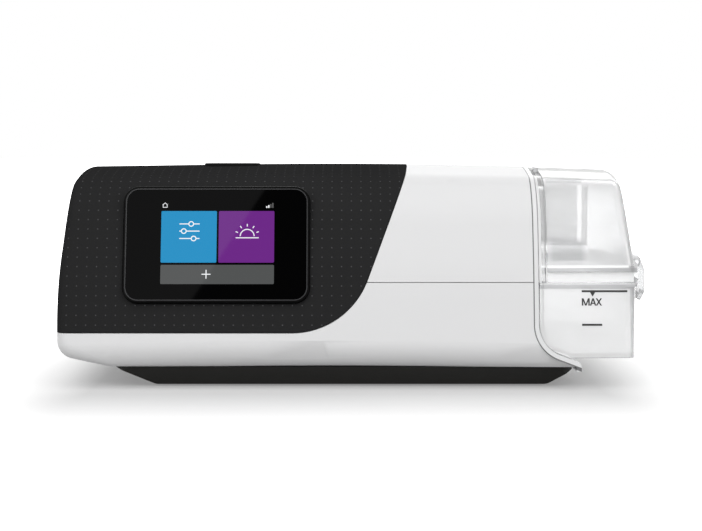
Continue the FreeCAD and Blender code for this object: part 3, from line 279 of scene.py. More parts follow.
def makeGrainGroup():
    # fine moulded grain, with a slow change of gloss across the part
    group, start, end = newGroup("mouldedGrain", ["Grain Scale", "Roughness", "Spread"],
                                 ["Height", "Roughness", "Cloud"])
    place = group.nodes.new("ShaderNodeTexCoord")
    fine = group.nodes.new("ShaderNodeTexNoise")
    fine.inputs["Detail"].default_value = grainForm["fineDetail"]
    group.links.new(start.outputs["Grain Scale"], fine.inputs["Scale"])
    slow = group.nodes.new("ShaderNodeTexNoise")
    slow.inputs["Scale"].default_value = grainForm["slowScale"]
    slow.inputs["Detail"].default_value = grainForm["slowDetail"]
    for noise in (fine, slow):
        group.links.new(place.outputs["Object"], noise.inputs["Vector"])
    centred = math2(group, "SUBTRACT", slow.outputs["Fac"], 0.5)
    swing = math2(group, "MULTIPLY", centred, start.outputs["Spread"])
    group.links.new(fine.outputs["Fac"], end.inputs["Height"])
    group.links.new(math2(group, "ADD", swing, start.outputs["Roughness"]), end.inputs["Roughness"])
    group.links.new(slow.outputs["Fac"], end.inputs["Cloud"])
    return group


fasciaDots = {
    "pitch": 4.15 * mm,
    "radius": 0.40 * mm,
    "startAcross": (drawnX - 1.2) * mm,
    "startUp": 1.9 * mm,
    # the front's slopes, as height or depth limits and the length along the skin
    "slopes": [("Z", 8.8, 50.0, 41.9), ("Z", 50.0, 79.5, 31.2), ("Z", 79.5, 89.6, 15.8),
               ("Y", -41.0, 46.0, 87.6)],
    # the share of the radius where a dot starts to fade
    "fullShare": 0.55,
    # the dots end where the skin faces sideways, from the first to the second of these
    "sideStart": 0.55,
    "sideEnd": 0.7,
    # the dots' paler colour is a painted highlight on a real pattern of dots
    "colour": (0.080, 0.080, 0.083),
    "bumpStrength": 0.8,
    "bumpHeight": 0.15 * mm,
}


def makeDotGroup():
    # a square grid of small dots that keeps its pitch along the bent front and leaves the end face plain
    group, _, end = newGroup("dotGrid", [], ["Dot"])
    axes = coordinateAxes(group)
    along = foldTogether(group, "ADD", [clampedRange(group, axes[axis], low * mm, high * mm, 0.0, length * mm)
                                        for axis, low, high, length in fasciaDots["slopes"]])
    offsets = []
    for value, begin in ((axes["X"], fasciaDots["startAcross"]), (along, fasciaDots["startUp"])):
        cell = math2(group, "DIVIDE", math2(group, "SUBTRACT", value, begin), fasciaDots["pitch"])
        nearest = math2(group, "ROUND", cell)
        offsets.append(math2(group, "MULTIPLY", math2(group, "SUBTRACT", cell, nearest), fasciaDots["pitch"]))
    share = math2(group, "DIVIDE", rootOfSquares(group, *offsets), fasciaDots["radius"])
    dot = clampedRange(group, share, fasciaDots["fullShare"], 1.0, 1.0, 0.0)
    sideways = math2(group, "ABSOLUTE", coordinateAxes(group, "Normal")["X"])
    front = clampedRange(group, sideways, fasciaDots["sideStart"], fasciaDots["sideEnd"], 1.0, 0.0)
    group.links.new(math2(group, "MULTIPLY", dot, front), end.inputs["Dot"])
    return group


def insideBand(group, value, low, high, soft):
    # 1 between the two limits, with soft ends
    rise = clampedRange(group, value, low - soft, low, 0.0, 1.0)
    fall = clampedRange(group, value, high, high + soft, 1.0, 0.0)
    return math2(group, "MULTIPLY", rise, fall)


# bands painted on the clear walls, as painted shade and dark reflections where the walls thicken and as painted
# highlights where they catch the light: low, high, left, right, front, rear and soft, in mm
clearBands = {
    "PaintedShade": [(48.4, 50.7, 60.0, 140.0, -90.0, 90.0, 0.4), (42.2, 43.7, 60.0, 140.0, -90.0, 90.0, 0.4),
             (86.6, 88.9, 79.0, 94.0, -60.0, -30.0, 0.6), (54.5, 61.0, 80.5, 92.0, -90.0, -40.0, 3.0),
             (12.0, 13.5, 84.0, 116.0, -90.0, -30.0, 0.3), (12.0, 43.0, 112.7, 117.0, -90.0, -52.0, 0.4)],
    "Bright": [(51.0, 51.6, 60.0, 112.0, -90.0, -40.0, 0.35), (89.7, 90.8, 74.0, 112.0, -60.0, -34.0, 0.35)],
}
# the air guide's painted shade low down and painted highlight along its right edge
guideBands = {
    "PaintedShade": [(56.0, 60.0, 70.0, 92.0, -40.0, 90.0, 5.0)],
    "Bright": [(60.5, 86.0, 93.4, 94.8, -40.0, -35.0, 0.5)],
}


def makeBandGroup(name, bands):
    group, _, end = newGroup(name, [], bands)
    axes = coordinateAxes(group)
    for label, boxes in bands.items():
        patches = []
        for low, high, left, right, front, rear, soft in boxes:
            sides = (("Z", low, high), ("X", drawnX + left, drawnX + right), ("Y", front, rear))
            walls = [insideBand(group, axes[axis], begin * mm, stop * mm, soft * mm)
                     for axis, begin, stop in sides]
            patches.append(foldTogether(group, "MULTIPLY", walls))
        group.links.new(foldTogether(group, "MAXIMUM", patches), end.inputs[label])
    return group


tubFootPaintedLight = {"low": 12.0, "high": 46.0}


def makePaintedFootLightGroup():
    # a mask that is strongest at the foot of the tub, where it drives a painted glow that lifts the shade
    group, _, end = newGroup("tubFootPaintedLight", [], ["PaintedFootLight"])
    height = coordinateAxes(group)["Z"]
    foot = clampedRange(group, height, tubFootPaintedLight["low"] * mm, tubFootPaintedLight["high"] * mm, 1.0, 0.0)
    group.links.new(foot, end.inputs["PaintedFootLight"])
    return group


def objectOffset(group, centre):
    # the place on the object, measured from a centre in mm
    place = group.nodes.new("ShaderNodeTexCoord")
    shift = group.nodes.new("ShaderNodeVectorMath")
    shift.operation = "SUBTRACT"
    group.links.new(place.outputs["Object"], shift.inputs[0])
    shift.inputs[1].default_value = [c * mm for c in centre]
    return shift.outputs["Vector"]


def dotOf(group, vector, direction):
    node = group.nodes.new("ShaderNodeVectorMath")
    node.operation = "DOT_PRODUCT"
    group.links.new(vector, node.inputs[0])
    node.inputs[1].default_value = direction
    return node.outputs["Value"]


# the display's plane: its middle in mm, and how far its top leans back in degrees
displayFace = {"centre": (drawnX - 62.5, -60.3, 60.85), "lean": 14.5}
bezelForm = {"halfWide": 39.7, "halfTall": 25.25, "corner": 6.8, "lineOut": 1.15, "lineIn": 1.5, "soft": 0.12}


def makeBezelHighlightGroup():
    # a painted highlight along the bezel's edge, just inside its outline
    group, _, end = newGroup("bezelPaintedHighlight", [], ["Line"])
    spot = objectOffset(group, displayFace["centre"])
    lean = math.radians(displayFace["lean"])
    upward = (0, math.sin(lean), math.cos(lean))
    over = []
    for direction, half in (((1, 0, 0), bezelForm["halfWide"]), (upward, bezelForm["halfTall"])):
        reach = math2(group, "ABSOLUTE", dotOf(group, spot, direction))
        beyond = math2(group, "SUBTRACT", reach, (half - bezelForm["corner"]) * mm)
        over.append(math2(group, "MAXIMUM", beyond, 0.0))
    low = (bezelForm["corner"] - bezelForm["lineIn"]) * mm
    high = (bezelForm["corner"] - bezelForm["lineOut"]) * mm
    line = insideBand(group, rootOfSquares(group, *over), low, high, bezelForm["soft"] * mm)
    group.links.new(line, end.inputs["Line"])
    return group


# the trim's J-shaped edge, in mm: an upright, a bend and a slope to the front
dockEdge = {"x": drawnX + 71.6, "bendTop": 27.07, "radius": 15.7, "slope": (0.936, -0.352), "cornerUp": 16.2,
            "tangent": 10.87, "line": 0.42, "overlap": 1.0, "soft": 0.1}


def makeDockLineGroup():
    # the shadow line where the trim meets the housing, along the J-shaped edge
    group, _, end = newGroup("dockLine", [], ["Line"])
    spot = objectOffset(group, (dockEdge["x"], 0, dockEdge["cornerUp"]))
    across, down = dockEdge["slope"]
    right = dotOf(group, spot, (1, 0, 0))
    up = dotOf(group, spot, (0, 0, 1))
    along = dotOf(group, spot, (across, 0, down))
    above = dotOf(group, spot, (-down, 0, across))
    bendUp = (dockEdge["bendTop"] - dockEdge["cornerUp"]) * mm
    fromX = math2(group, "SUBTRACT", right, dockEdge["radius"] * mm)
    fromZ = math2(group, "SUBTRACT", up, bendUp)
    arc = math2(group, "SUBTRACT", dockEdge["radius"] * mm, rootOfSquares(group, fromX, fromZ))
    high = math2(group, "GREATER_THAN", up, bendUp)
    far = math2(group, "GREATER_THAN", along, dockEdge["tangent"] * mm)
    bend = math2(group, "MULTIPLY", math2(group, "SUBTRACT", 1.0, high), math2(group, "SUBTRACT", 1.0, far))
    low, width, soft = -dockEdge["overlap"] * mm, dockEdge["line"] * mm, dockEdge["soft"] * mm
    patches = [math2(group, "MULTIPLY", insideBand(group, distance, low, width, soft), zone)
               for distance, zone in ((right, high), (above, far), (arc, bend))]
    group.links.new(foldTogether(group, "MAXIMUM", patches), end.inputs["Line"])
    return group


grainGroup = makeGrainGroup()
dotGroup = makeDotGroup()
clearGroup = makeBandGroup("clearBands", clearBands)
guideGroup = makeBandGroup("guideBands", guideBands)
bezelHighlightGroup = makeBezelHighlightGroup()
dockLineGroup = makeDockLineGroup()
paintedFootLightGroup = makePaintedFootLightGroup()


# materials

# the colour mix node's own socket numbers
mixSocket = {"share": 0, "from": 6, "to": 7, "result": 2}


def colourMix(tree, share, first, second):
    mix = tree.nodes.new("ShaderNodeMix")
    mix.data_type = "RGBA"
    tree.links.new(share, mix.inputs[mixSocket["share"]])
    for label, colour in (("from", first), ("to", second)):
        socket = mix.inputs[mixSocket[label]]
        if isinstance(colour, bpy.types.NodeSocket):
            tree.links.new(colour, socket)
        else:
            socket.default_value = (*colour, 1)
    return mix.outputs[mixSocket["result"]]


def newMaterial(name, colour, roughness, grainScale=1500.0, grain=0.12, spread=0.06, metallic=0.0, clouds=0.03,
                specular=0.5, transmission=0.0, ior=1.5, glow=0.0):
    material = bpy.data.materials.new(name)
    material.use_nodes = True
    tree = material.node_tree
    shader = tree.nodes["Principled BSDF"]
    surface = tree.nodes.new("ShaderNodeGroup")
    surface.node_tree = grainGroup
    surface.inputs["Grain Scale"].default_value = grainScale
    surface.inputs["Roughness"].default_value = roughness
    surface.inputs["Spread"].default_value = spread
    tree.links.new(surface.outputs["Roughness"], shader.inputs["Roughness"])
    darker = [c * (1 - clouds) for c in colour]
    lighter = [min(1.0, c * (1 + clouds)) for c in colour]
    tree.links.new(colourMix(tree, surface.outputs["Cloud"], darker, lighter), shader.inputs["Base Color"])
    bump = tree.nodes.new("ShaderNodeBump")
    bump.inputs["Strength"].default_value = grain
    bump.inputs["Distance"].default_value = grainForm["depth"]
    tree.links.new(surface.outputs["Height"], bump.inputs["Height"])
    tree.links.new(bump.outputs["Normal"], shader.inputs["Normal"])
    shader.inputs["Metallic"].default_value = metallic
    shader.inputs["Specular IOR Level"].default_value = specular
    shader.inputs["Transmission Weight"].default_value = transmission
    shader.inputs["IOR"].default_value = ior
    shader.inputs["Emission Color"].default_value = (1, 1, 1, 1)
    shader.inputs["Emission Strength"].default_value = glow
    return material


def maskOf(material, group, label):
    masks = material.node_tree.nodes.new("ShaderNodeGroup")
    masks.node_tree = group
    return masks.outputs[label]


def mixOverBase(material, share, colour):
    # the base colour turns to another colour where the share is 1
    tree = material.node_tree
    target = tree.nodes["Principled BSDF"].inputs["Base Color"]
    tree.links.new(colourMix(tree, share, target.links[0].from_socket, colour), target)
    return material


def tintByMask(material, group, label, colour):
    return mixOverBase(material, maskOf(material, group, label), colour)


def glowAsPaintedLight(material, group, label, strength):
    # a faint white glow where a group's mask is 1, painted light from no lamp
    tree = material.node_tree
    shader = tree.nodes["Principled BSDF"]
    glow = clampedRange(tree, maskOf(material, group, label), 0.0, 1.0, 0.0, strength)
    tree.links.new(glow, shader.inputs["Emission Color"])
    shader.inputs["Emission Strength"].default_value = 1.0
    return material


# clear walls: what is added to the tone, the gloss, and the grey of walls seen edge-on
clearWalls = {"tint": (0.0, 0.002, 0.005), "roughness": 0.1, "grainScale": 300.0, "grain": 0.02, "spread": 0.05,
              "clouds": 0.002, "ior": 1.22, "outline": 0.5, "outlineBlue": 1.01, "edgeBlend": 0.5,
              "edgeStart": 0.72, "edgeEnd": 0.97}


def greyOutline(material, tone):
    # clear walls seen edge-on look grey, because the light runs a long way inside them
    tree = material.node_tree
    edge = tree.nodes.new("ShaderNodeLayerWeight")
    edge.inputs["Blend"].default_value = clearWalls["edgeBlend"]
    share = clampedRange(tree, edge.outputs["Facing"], clearWalls["edgeStart"], clearWalls["edgeEnd"], 0.0, 1.0)
    return mixOverBase(material, share, (tone, tone, tone * clearWalls["outlineBlue"]))


def makeClearMaterial(name, tone, transmission, group, paintedShadeTone, highlightGroup, light, strength):
    # clear moulded walls, slightly milky, with painted shade and a painted glow from their masks
    colour = [tone + more for more in clearWalls["tint"]]
    material = newMaterial(name, colour, clearWalls["roughness"], grainScale=clearWalls["grainScale"],
                           grain=clearWalls["grain"], spread=clearWalls["spread"], clouds=clearWalls["clouds"],
                           transmission=transmission, ior=clearWalls["ior"])
    # the grey bands are painted shade
    tintByMask(material, group, "PaintedShade", paintedShadeTone)
    greyOutline(material, clearWalls["outline"])
    # the mask's glow is painted light
    return glowAsPaintedLight(material, highlightGroup, light, strength)


def makeFasciaMaterial():
    # matte black with slightly raised dots, whose paler colour is a painted highlight
    material = newMaterial("fasciaBlack", (0.026, 0.026, 0.0265), 0.6, grainScale=1900.0, grain=0.2, clouds=0.10,
                           specular=0.0)
    tree = material.node_tree
    target = tree.nodes["Principled BSDF"].inputs["Normal"]
    dot = maskOf(material, dotGroup, "Dot")
    mixOverBase(material, dot, fasciaDots["colour"])
    raised = tree.nodes.new("ShaderNodeBump")
    raised.inputs["Strength"].default_value = fasciaDots["bumpStrength"]
    raised.inputs["Distance"].default_value = fasciaDots["bumpHeight"]
    tree.links.new(dot, raised.inputs["Height"])
    tree.links.new(target.links[0].from_socket, raised.inputs["Normal"])
    tree.links.new(raised.outputs["Normal"], target)
    return material


litPatch = {"bodyShare": 0.1, "roughness": 0.025, "spread": 0.01, "specular": 0.034}


def makeGlowMaterial(name, colour, strength):
    # a lit patch of the display under the glass
    body = [c * litPatch["bodyShare"] for c in colour]
    material = newMaterial(name, body, litPatch["roughness"], grain=0.0, spread=litPatch["spread"],
                           specular=litPatch["specular"])
    shader = material.node_tree.nodes["Principled BSDF"]
    shader.inputs["Emission Color"].default_value = (*colour, 1)
    shader.inputs["Emission Strength"].default_value = strength
    return material


finishes = {
    "housingWhite": newMaterial("housingWhite", (0.845, 0.845, 0.85), 0.42, grainScale=1400.0, grain=0.08,
                                clouds=0.012, specular=0.2),
    "fasciaBlack": makeFasciaMaterial(),
    "buttonBlack": newMaterial("buttonBlack", (0.013, 0.013, 0.013), 0.45, grain=0.15, clouds=0.08,
                               specular=0.02),
    "baseBlack": newMaterial("baseBlack", (0.0188, 0.0184, 0.0170), 0.5, grainScale=1200.0, grain=0.3, clouds=0.1,
                             specular=0.16),
    # the bezel's edge line is a painted highlight
    "bezelBlack": tintByMask(newMaterial("bezelBlack", (0.0008, 0.0008, 0.0008), 0.2, grain=0.05, clouds=0.05,
                                         specular=0.04), bezelHighlightGroup, "Line", (0.05, 0.05, 0.052)),
    "screenGlass": newMaterial("screenGlass", (0.0004, 0.0004, 0.0005), 0.025, grain=0.0, spread=0.01,
                               clouds=0.02, specular=0.012),
    "trimGrey": tintByMask(newMaterial("trimGrey", (0.85, 0.853, 0.86), 0.3, grain=0.1, clouds=0.02,
                                       specular=0.3), dockLineGroup, "Line", (0.16, 0.16, 0.165)),
    # the clear parts' grey bands and glows are painted shade and painted highlights
    "clearPlastic": makeClearMaterial("clearPlastic", 0.95, 0.68, clearGroup, (0.72, 0.725, 0.73), clearGroup,
                                      "Bright", 0.2),
    # the tub's foot glows faintly, painted light over its shade
    "tubClear": makeClearMaterial("tubClear", 0.93, 0.60, clearGroup, (0.70, 0.705, 0.71), paintedFootLightGroup,
                                  "PaintedFootLight", 0.085),
    "guideClear": makeClearMaterial("guideClear", 0.965, 0.68, guideGroup, (0.91, 0.913, 0.918), guideGroup,
                                    "Bright", 0.6),
    "clipClear": greyOutline(newMaterial("clipClear", (0.56, 0.565, 0.57), 0.1, grainScale=400.0, grain=0.03,
                                         clouds=0.005, transmission=0.8, ior=1.4), 0.35),
    "linerPale": newMaterial("linerPale", (0.74, 0.745, 0.75), 0.42, grain=0.15, clouds=0.03),
    "linerGrey": newMaterial("linerGrey", (0.30, 0.31, 0.32), 0.5, grain=0.2, clouds=0.05),
    "smokePlastic": newMaterial("smokePlastic", (0.16, 0.165, 0.17), 0.4, grain=0.15, clouds=0.06),
    "rubberBlack": newMaterial("rubberBlack", (0.03, 0.03, 0.03), 0.75, grainScale=900.0, grain=0.4, clouds=0.15),
    # the seal's faint glow is painted light through the gap between lid and base
    "sealClearPaintedGlow": newMaterial("sealClearPaintedGlow", (0.96, 0.963, 0.966), 0.3, grain=0.1, clouds=0.01, transmission=0.3,
                             ior=1.2, glow=0.09),
    "steel": newMaterial("steel", (0.58, 0.58, 0.59), 0.28, grainScale=2500.0, grain=0.15, metallic=1.0),
    "aluminium": newMaterial("aluminium", (0.72, 0.73, 0.74), 0.34, grainScale=2000.0, grain=0.2, metallic=1.0),
    "copper": newMaterial("copper", (0.55, 0.24, 0.10), 0.35, metallic=0.8, clouds=0.1),
    "boardGreen": newMaterial("boardGreen", (0.02, 0.10, 0.04), 0.35, clouds=0.2),
    "componentBlack": newMaterial("componentBlack", (0.02, 0.02, 0.022), 0.45, clouds=0.1),
    "workingWhite": newMaterial("workingWhite", (0.72, 0.72, 0.71), 0.45, grain=0.15, clouds=0.02),
    "foamGrey": newMaterial("foamGrey", (0.09, 0.09, 0.095), 0.95, grainScale=700.0, grain=1.0, clouds=0.25),
    "filterWhite": newMaterial("filterWhite", (0.75, 0.75, 0.72), 0.9, grainScale=1100.0, grain=0.8, clouds=0.06),
    "magnetDark": newMaterial("magnetDark", (0.12, 0.12, 0.125), 0.4, metallic=0.9, clouds=0.1),
    "filmOrange": newMaterial("filmOrange", (0.42, 0.17, 0.03), 0.3, clouds=0.06),
    "printBlack": newMaterial("printBlack", (0.012, 0.012, 0.012), 0.5, grain=0.05),
    "glowBlue": makeGlowMaterial("glowBlue", (0.008, 0.265, 0.54), 0.92),
    "glowPurple": makeGlowMaterial("glowPurple", (0.145, 0.020, 0.23), 0.95),
    "glowGrey": makeGlowMaterial("glowGrey", (0.088, 0.092, 0.092), 0.85),
    "glowWhite": makeGlowMaterial("glowWhite", (0.88, 0.90, 0.92), 0.95),
    "glowDim": makeGlowMaterial("glowDim", (0.10, 0.10, 0.10), 0.95),
}

nodeFinish = {
    "screen_bezel": "bezelBlack", "touch_glass": "screenGlass", "display_panel": "componentBlack",
    "start_button": "buttonBlack", "button_board": "boardGreen", "front_fascia": "fasciaBlack",
    "upper_housing": "housingWhite", "lower_housing": "housingWhite", "base_plate": "baseBlack",
    "rubber_feet": "rubberBlack", "dock_frame": "trimGrey", "dock_liner": "linerPale",
    "dock_inlet_seal": "rubberBlack", "dock_outlet_seal": "rubberBlack", "heater_plate": "aluminium",
    "heater_mat": "filmOrange", "tub_base": "tubClear", "tub_heat_plate": "steel",
    "tub_inner_cover": "clearPlastic", "lid_hinge_pin": "steel", "tub_air_guide": "guideClear",
    "tub_lid": "clearPlastic", "lid_seal": "sealClearPaintedGlow", "tub_clip": "clipClear", "clip_pin": "steel",
    "inlet_plenum": "workingWhite", "muffler_foam": "foamGrey", "air_filter": "filterWhite",
    "filter_cover": "linerGrey", "inlet_bellows": "rubberBlack", "volute_lower": "workingWhite",
    "volute_upper": "workingWhite", "impeller": "workingWhite", "rotor_shaft": "steel",
    "rotor_magnet": "magnetDark", "motor_can": "steel", "motor_stator": "copper", "motor_bearings": "steel",
    "blower_mounts": "rubberBlack", "blower_boot": "rubberBlack", "air_outlet": "smokePlastic",
    "outlet_socket": "linerGrey", "tube_contacts": "componentBlack", "main_board": "boardGreen",
    "card_socket": "steel", "power_jack": "componentBlack", "card_cover": "fasciaBlack",
    "flow_sensor": "componentBlack", "radio_board": "boardGreen", "display_ribbon": "filmOrange",
    "board_screws": "steel", "housing_screws": "steel",
}
for name, piece in nodes.items():
    setMaterial(piece, finishes[nodeFinish[name]])
print("materials assigned to", len(nodes), "nodes")


# the lit display, just over the glass

# in mm on the display's plane, measured from its middle
screen = {
    "glassLevel": -0.15,
    "lift": 0.02,
    "thick": 0.05,
    "tileWidth": 23.55,
    "tileGap": 0.85,
    "left": -23.5,
    "tileLow": -7.9,
    "tileHigh": 14.4,
    "barLow": -17.1,
    "barHigh": -8.85,
    "corner": 0.5,
    "cornerSteps": 5,
    "ringSteps": 40,
    # the icons' strokes: width, corner, and height over the tiles
    "line": 0.42,
    "lineCorner": 0.1,
    "iconLevel": 0.06,
}


def screenPlace():
    lean = math.radians(displayFace["lean"])
    across = Vector((1, 0, 0))
    up = Vector((0, math.sin(lean), math.cos(lean)))
    out = Vector((0, -math.cos(lean), math.sin(lean)))
    turn = Matrix((across, up, out)).transposed().to_4x4()
    return Matrix.Translation(Vector(displayFace["centre"]) * mm) @ turn


def thickenOnScreen(piece, across, up, level, turn=0.0):
    # in edit mode, the flat piece gets its thickness and then its place on the display's plane
    bpy.ops.mesh.extrude_region_move(TRANSFORM_OT_translate={"value": (0, 0, screen["thick"] * mm)})
    bpy.ops.mesh.select_all(action="SELECT")
    bpy.ops.mesh.normals_make_consistent(inside=False)
    bpy.ops.object.mode_set(mode="OBJECT")
    lift = (screen["glassLevel"] + screen["lift"] + level) * mm
    place = Matrix.Translation((across * mm, up * mm, lift)) @ Matrix.Rotation(math.radians(turn), 4, "Z")
    return bakePlace(piece, place)


def flatPlate(width, tall, corner, across, up, level=0.0, turn=0.0):
    # a thin plate with rounded corners
    clearSelection()
    bpy.ops.mesh.primitive_plane_add(size=1, location=(0, 0, 0))
    piece = bpy.context.object
    piece.scale = (width * mm, tall * mm, 1)
    bpy.ops.object.transform_apply(location=False, rotation=False, scale=True)
    bpy.ops.object.mode_set(mode="EDIT")
    bpy.ops.mesh.select_all(action="SELECT")
    bpy.ops.mesh.bevel(offset=corner * mm, segments=screen["cornerSteps"], affect="VERTICES")
    bpy.ops.mesh.select_all(action="SELECT")
    return thickenOnScreen(piece, across, up, level, turn)


def stroke(length, across, up, turn=0.0):
    # one line of an icon, over the tiles
    return flatPlate(length, screen["line"], screen["lineCorner"], across, up, screen["iconLevel"], turn)


def flatRing(radius, across, up, half=False):
    # a flat ring of an icon, or the upper half of one
    width = screen["line"]
    clearSelection()
    bpy.ops.mesh.primitive_circle_add(vertices=screen["ringSteps"], radius=(radius + width / 2) * mm,
                                      fill_type="NGON")
    piece = bpy.context.object
    bpy.ops.object.mode_set(mode="EDIT")
    bpy.ops.mesh.select_all(action="SELECT")
    bpy.ops.mesh.inset(thickness=width * mm)
    bpy.ops.mesh.delete(type="FACE")
    bpy.ops.mesh.select_all(action="SELECT")
    if half:
        bpy.ops.mesh.bisect(plane_co=(0, 0, 0), plane_no=(0, 1, 0), clear_inner=True)
        bpy.ops.mesh.select_all(action="SELECT")
    return thickenOnScreen(piece, across, up, screen["iconLevel"])


def onScreen(piece, finish):
    piece.data.transform(screenPlace())
    piece.data.update()
    return finishPiece(piece, finishes[finish], "housing")


def makeTiles():
    wide, gap, left = screen["tileWidth"], screen["tileGap"], screen["left"]
    tall = screen["tileHigh"] - screen["tileLow"]
    middle = (screen["tileHigh"] + screen["tileLow"]) / 2
    for name, across, finish in (("displayTileBlue", left + wide / 2, "glowBlue"),
                                 ("displayTilePurple", left + wide * 1.5 + gap, "glowPurple")):
        tile = flatPlate(wide, tall, screen["corner"], across, middle)
        tile.name = name
        onScreen(tile, finish)
    barWide = 2 * wide + gap
    barTall = screen["barHigh"] - screen["barLow"]
    barUp = (screen["barHigh"] + screen["barLow"]) / 2
    bar = flatPlate(barWide, barTall, screen["corner"], left + barWide / 2, barUp)
    bar.name = "displayBar"
    onScreen(bar, "glowGrey")


# each row: its height, and the knob's place from the middle
sliders = {"centre": -11.5, "length": 8.6, "rows": [(8.8, 0.7), (5.7, -2.4), (2.5, 1.8)], "knob": 1.0}


def makeSliders():
    parts = []
    centre, half, radius = sliders["centre"], sliders["length"] / 2, sliders["knob"]
    for up, knob in sliders["rows"]:
        for start, stop in ((-half, knob - radius), (knob + radius, half)):
            parts.append(stroke(stop - start, centre + (start + stop) / 2, up))
        parts.append(flatRing(radius, centre + knob, up))
    onScreen(joinPieces("displaySliders", parts), "glowWhite")


sunrise = {"across": 13.0, "base": 2.8, "width": 9.8, "radius": 2.95, "archUp": 0.7, "rayIn": 4.2, "rayOut": 5.3,
           "rays": 5, "firstRay": 22, "raySweep": 136}


def makeSunrise():
    across, centreUp = sunrise["across"], sunrise["base"] + sunrise["archUp"]
    parts = [stroke(sunrise["width"], across, sunrise["base"]),
             flatRing(sunrise["radius"], across, centreUp, half=True)]
    length = sunrise["rayOut"] - sunrise["rayIn"]
    middle = (sunrise["rayIn"] + sunrise["rayOut"]) / 2
    for ray in range(sunrise["rays"]):
        turn = sunrise["firstRay"] + ray * sunrise["raySweep"] / (sunrise["rays"] - 1)
        angle = math.radians(turn)
        parts.append(stroke(length, across + middle * math.cos(angle), centreUp + middle * math.sin(angle), turn))
    onScreen(joinPieces("displaySunrise", parts), "glowWhite")


plusSign = {"across": -4.2, "up": -12.9, "arm": 3.8, "overlap": 0.001}


def makePlus():
    across, up, arm, line = plusSign["across"], plusSign["up"], plusSign["arm"], screen["line"]
    upright = flatPlate(line, arm, screen["lineCorner"], across, up, screen["iconLevel"] + plusSign["overlap"])
    onScreen(joinPieces("displayPlus", [stroke(arm, across, up), upright]), "glowWhite")


signalBars = {"left": 21.2, "low": 15.8, "step": 0.85, "wide": 0.6, "corner": 0.05,
              "heights": [0.7, 1.15, 1.6, 2.1], "lit": 2}


def makeSignal():
    lit, dim = [], []
    for index, tall in enumerate(signalBars["heights"]):
        across = signalBars["left"] + index * signalBars["step"]
        bar = flatPlate(signalBars["wide"], tall, signalBars["corner"], across, signalBars["low"] + tall / 2)
        (lit if index < signalBars["lit"] else dim).append(bar)
    onScreen(joinPieces("displaySignalLit", lit), "glowWhite")
    onScreen(joinPieces("displaySignalDim", dim), "glowDim")


houseIcon = {"across": -22.0, "low": 15.9, "wide": 1.7, "tall": 1.2, "line": 0.25, "corner": 0.04, "sillUp": 0.12,
             "roof": 1.5, "roofOut": 0.5, "roofUp": 0.42, "roofTurn": 40, "overlap": 0.001}


def makeHouse():
    across, low, wide, tall = (houseIcon[label] for label in ("across", "low", "wide", "tall"))
    line, corner, overlap = houseIcon["line"], houseIcon["corner"], houseIcon["overlap"]
    eaves = low + tall + houseIcon["roofUp"]
    parts = [flatPlate(line, tall, corner, across + side * wide / 2, low + tall / 2) for side in (-1, 1)]
    parts.append(flatPlate(wide, line, corner, across, low + houseIcon["sillUp"], overlap))
    for step, side in ((2, -1), (3, 1)):
        parts.append(flatPlate(houseIcon["roof"], line, corner, across + side * houseIcon["roofOut"], eaves,
                               step * overlap, -side * houseIcon["roofTurn"]))
    onScreen(joinPieces("displayHome", parts), "glowWhite")


makeTiles()
makeSliders()
makeSunrise()
makePlus()
makeSignal()
makeHouse()
print("display ready")


# thicker outer lip on the inner cover's flange

flangeLip = {"face": (drawnX + 75.2) * mm, "deep": 0.95 * mm, "near": 0.02 * mm, "merge": 0.001 * mm}


def makeFlangeLip():
    cover = nodes["tub_inner_cover"]
    bm = bmesh.new()
    bm.from_mesh(cover.data)
    bmesh.ops.remove_doubles(bm, verts=bm.verts, dist=flangeLip["merge"])
    outside = [face for face in bm.faces
               if any(abs(corner.co.x - flangeLip["face"]) > flangeLip["near"] for corner in face.verts)]
    bmesh.ops.delete(bm, geom=outside, context="FACES")
    drawn = bmesh.ops.extrude_face_region(bm, geom=bm.faces[:], use_keep_orig=True)
    moved = [item for item in drawn["geom"] if isinstance(item, bmesh.types.BMVert)]
    bmesh.ops.translate(bm, verts=moved, vec=(-flangeLip["deep"], 0, 0))
    bmesh.ops.recalc_face_normals(bm, faces=bm.faces[:])
    mesh = bpy.data.meshes.new("coverFlangeLip")
    bm.to_mesh(mesh)
    bm.free()
    lip = bpy.data.objects.new("coverFlangeLip", mesh)
    bpy.context.scene.collection.objects.link(lip)
    # the lip shares the seal's painted glow
    finishPiece(lip, finishes["sealClearPaintedGlow"], "tub")


makeFlangeLip()
print("flange lip ready")


# fill marks on the tub

fillMarks = {
    "left": drawnX + 92.0,
    "maxLine": (41.1, 19.3),
    "lowLine": (27.1, 8.5),
    "lineTall": 0.85,
    "letterLow": 35.1,
    "letterTall": 3.05,
    # the letters' strokes: bottom place, top place, what is left off below and above, and width
    "strokes": [(0.30, 0.30, 0, 0, 0.62), (1.67, 0.43, 0, 0, 0.6), (1.67, 2.91, 0, 0, 0.6),
                (3.04, 3.04, 0, 0, 0.62), (3.68, 4.74, 0, 0, 0.64), (5.80, 4.74, 0, 0, 0.64),
                (4.74, 4.74, 0.72, 1.86, 1.3), (6.20, 8.18, 0, 0, 0.66), (8.18, 6.20, 0, 0, 0.66)],
    "pointer": drawnX + 96.6,
    "pointerRadius": 1.25,
    "pointerRound": 0.15,
    "stripDeep": 0.1,
    "stripCuts": 6,
    "lift": 0.04,
    "thick": 0.08,
    "rayFront": -200.0,
}


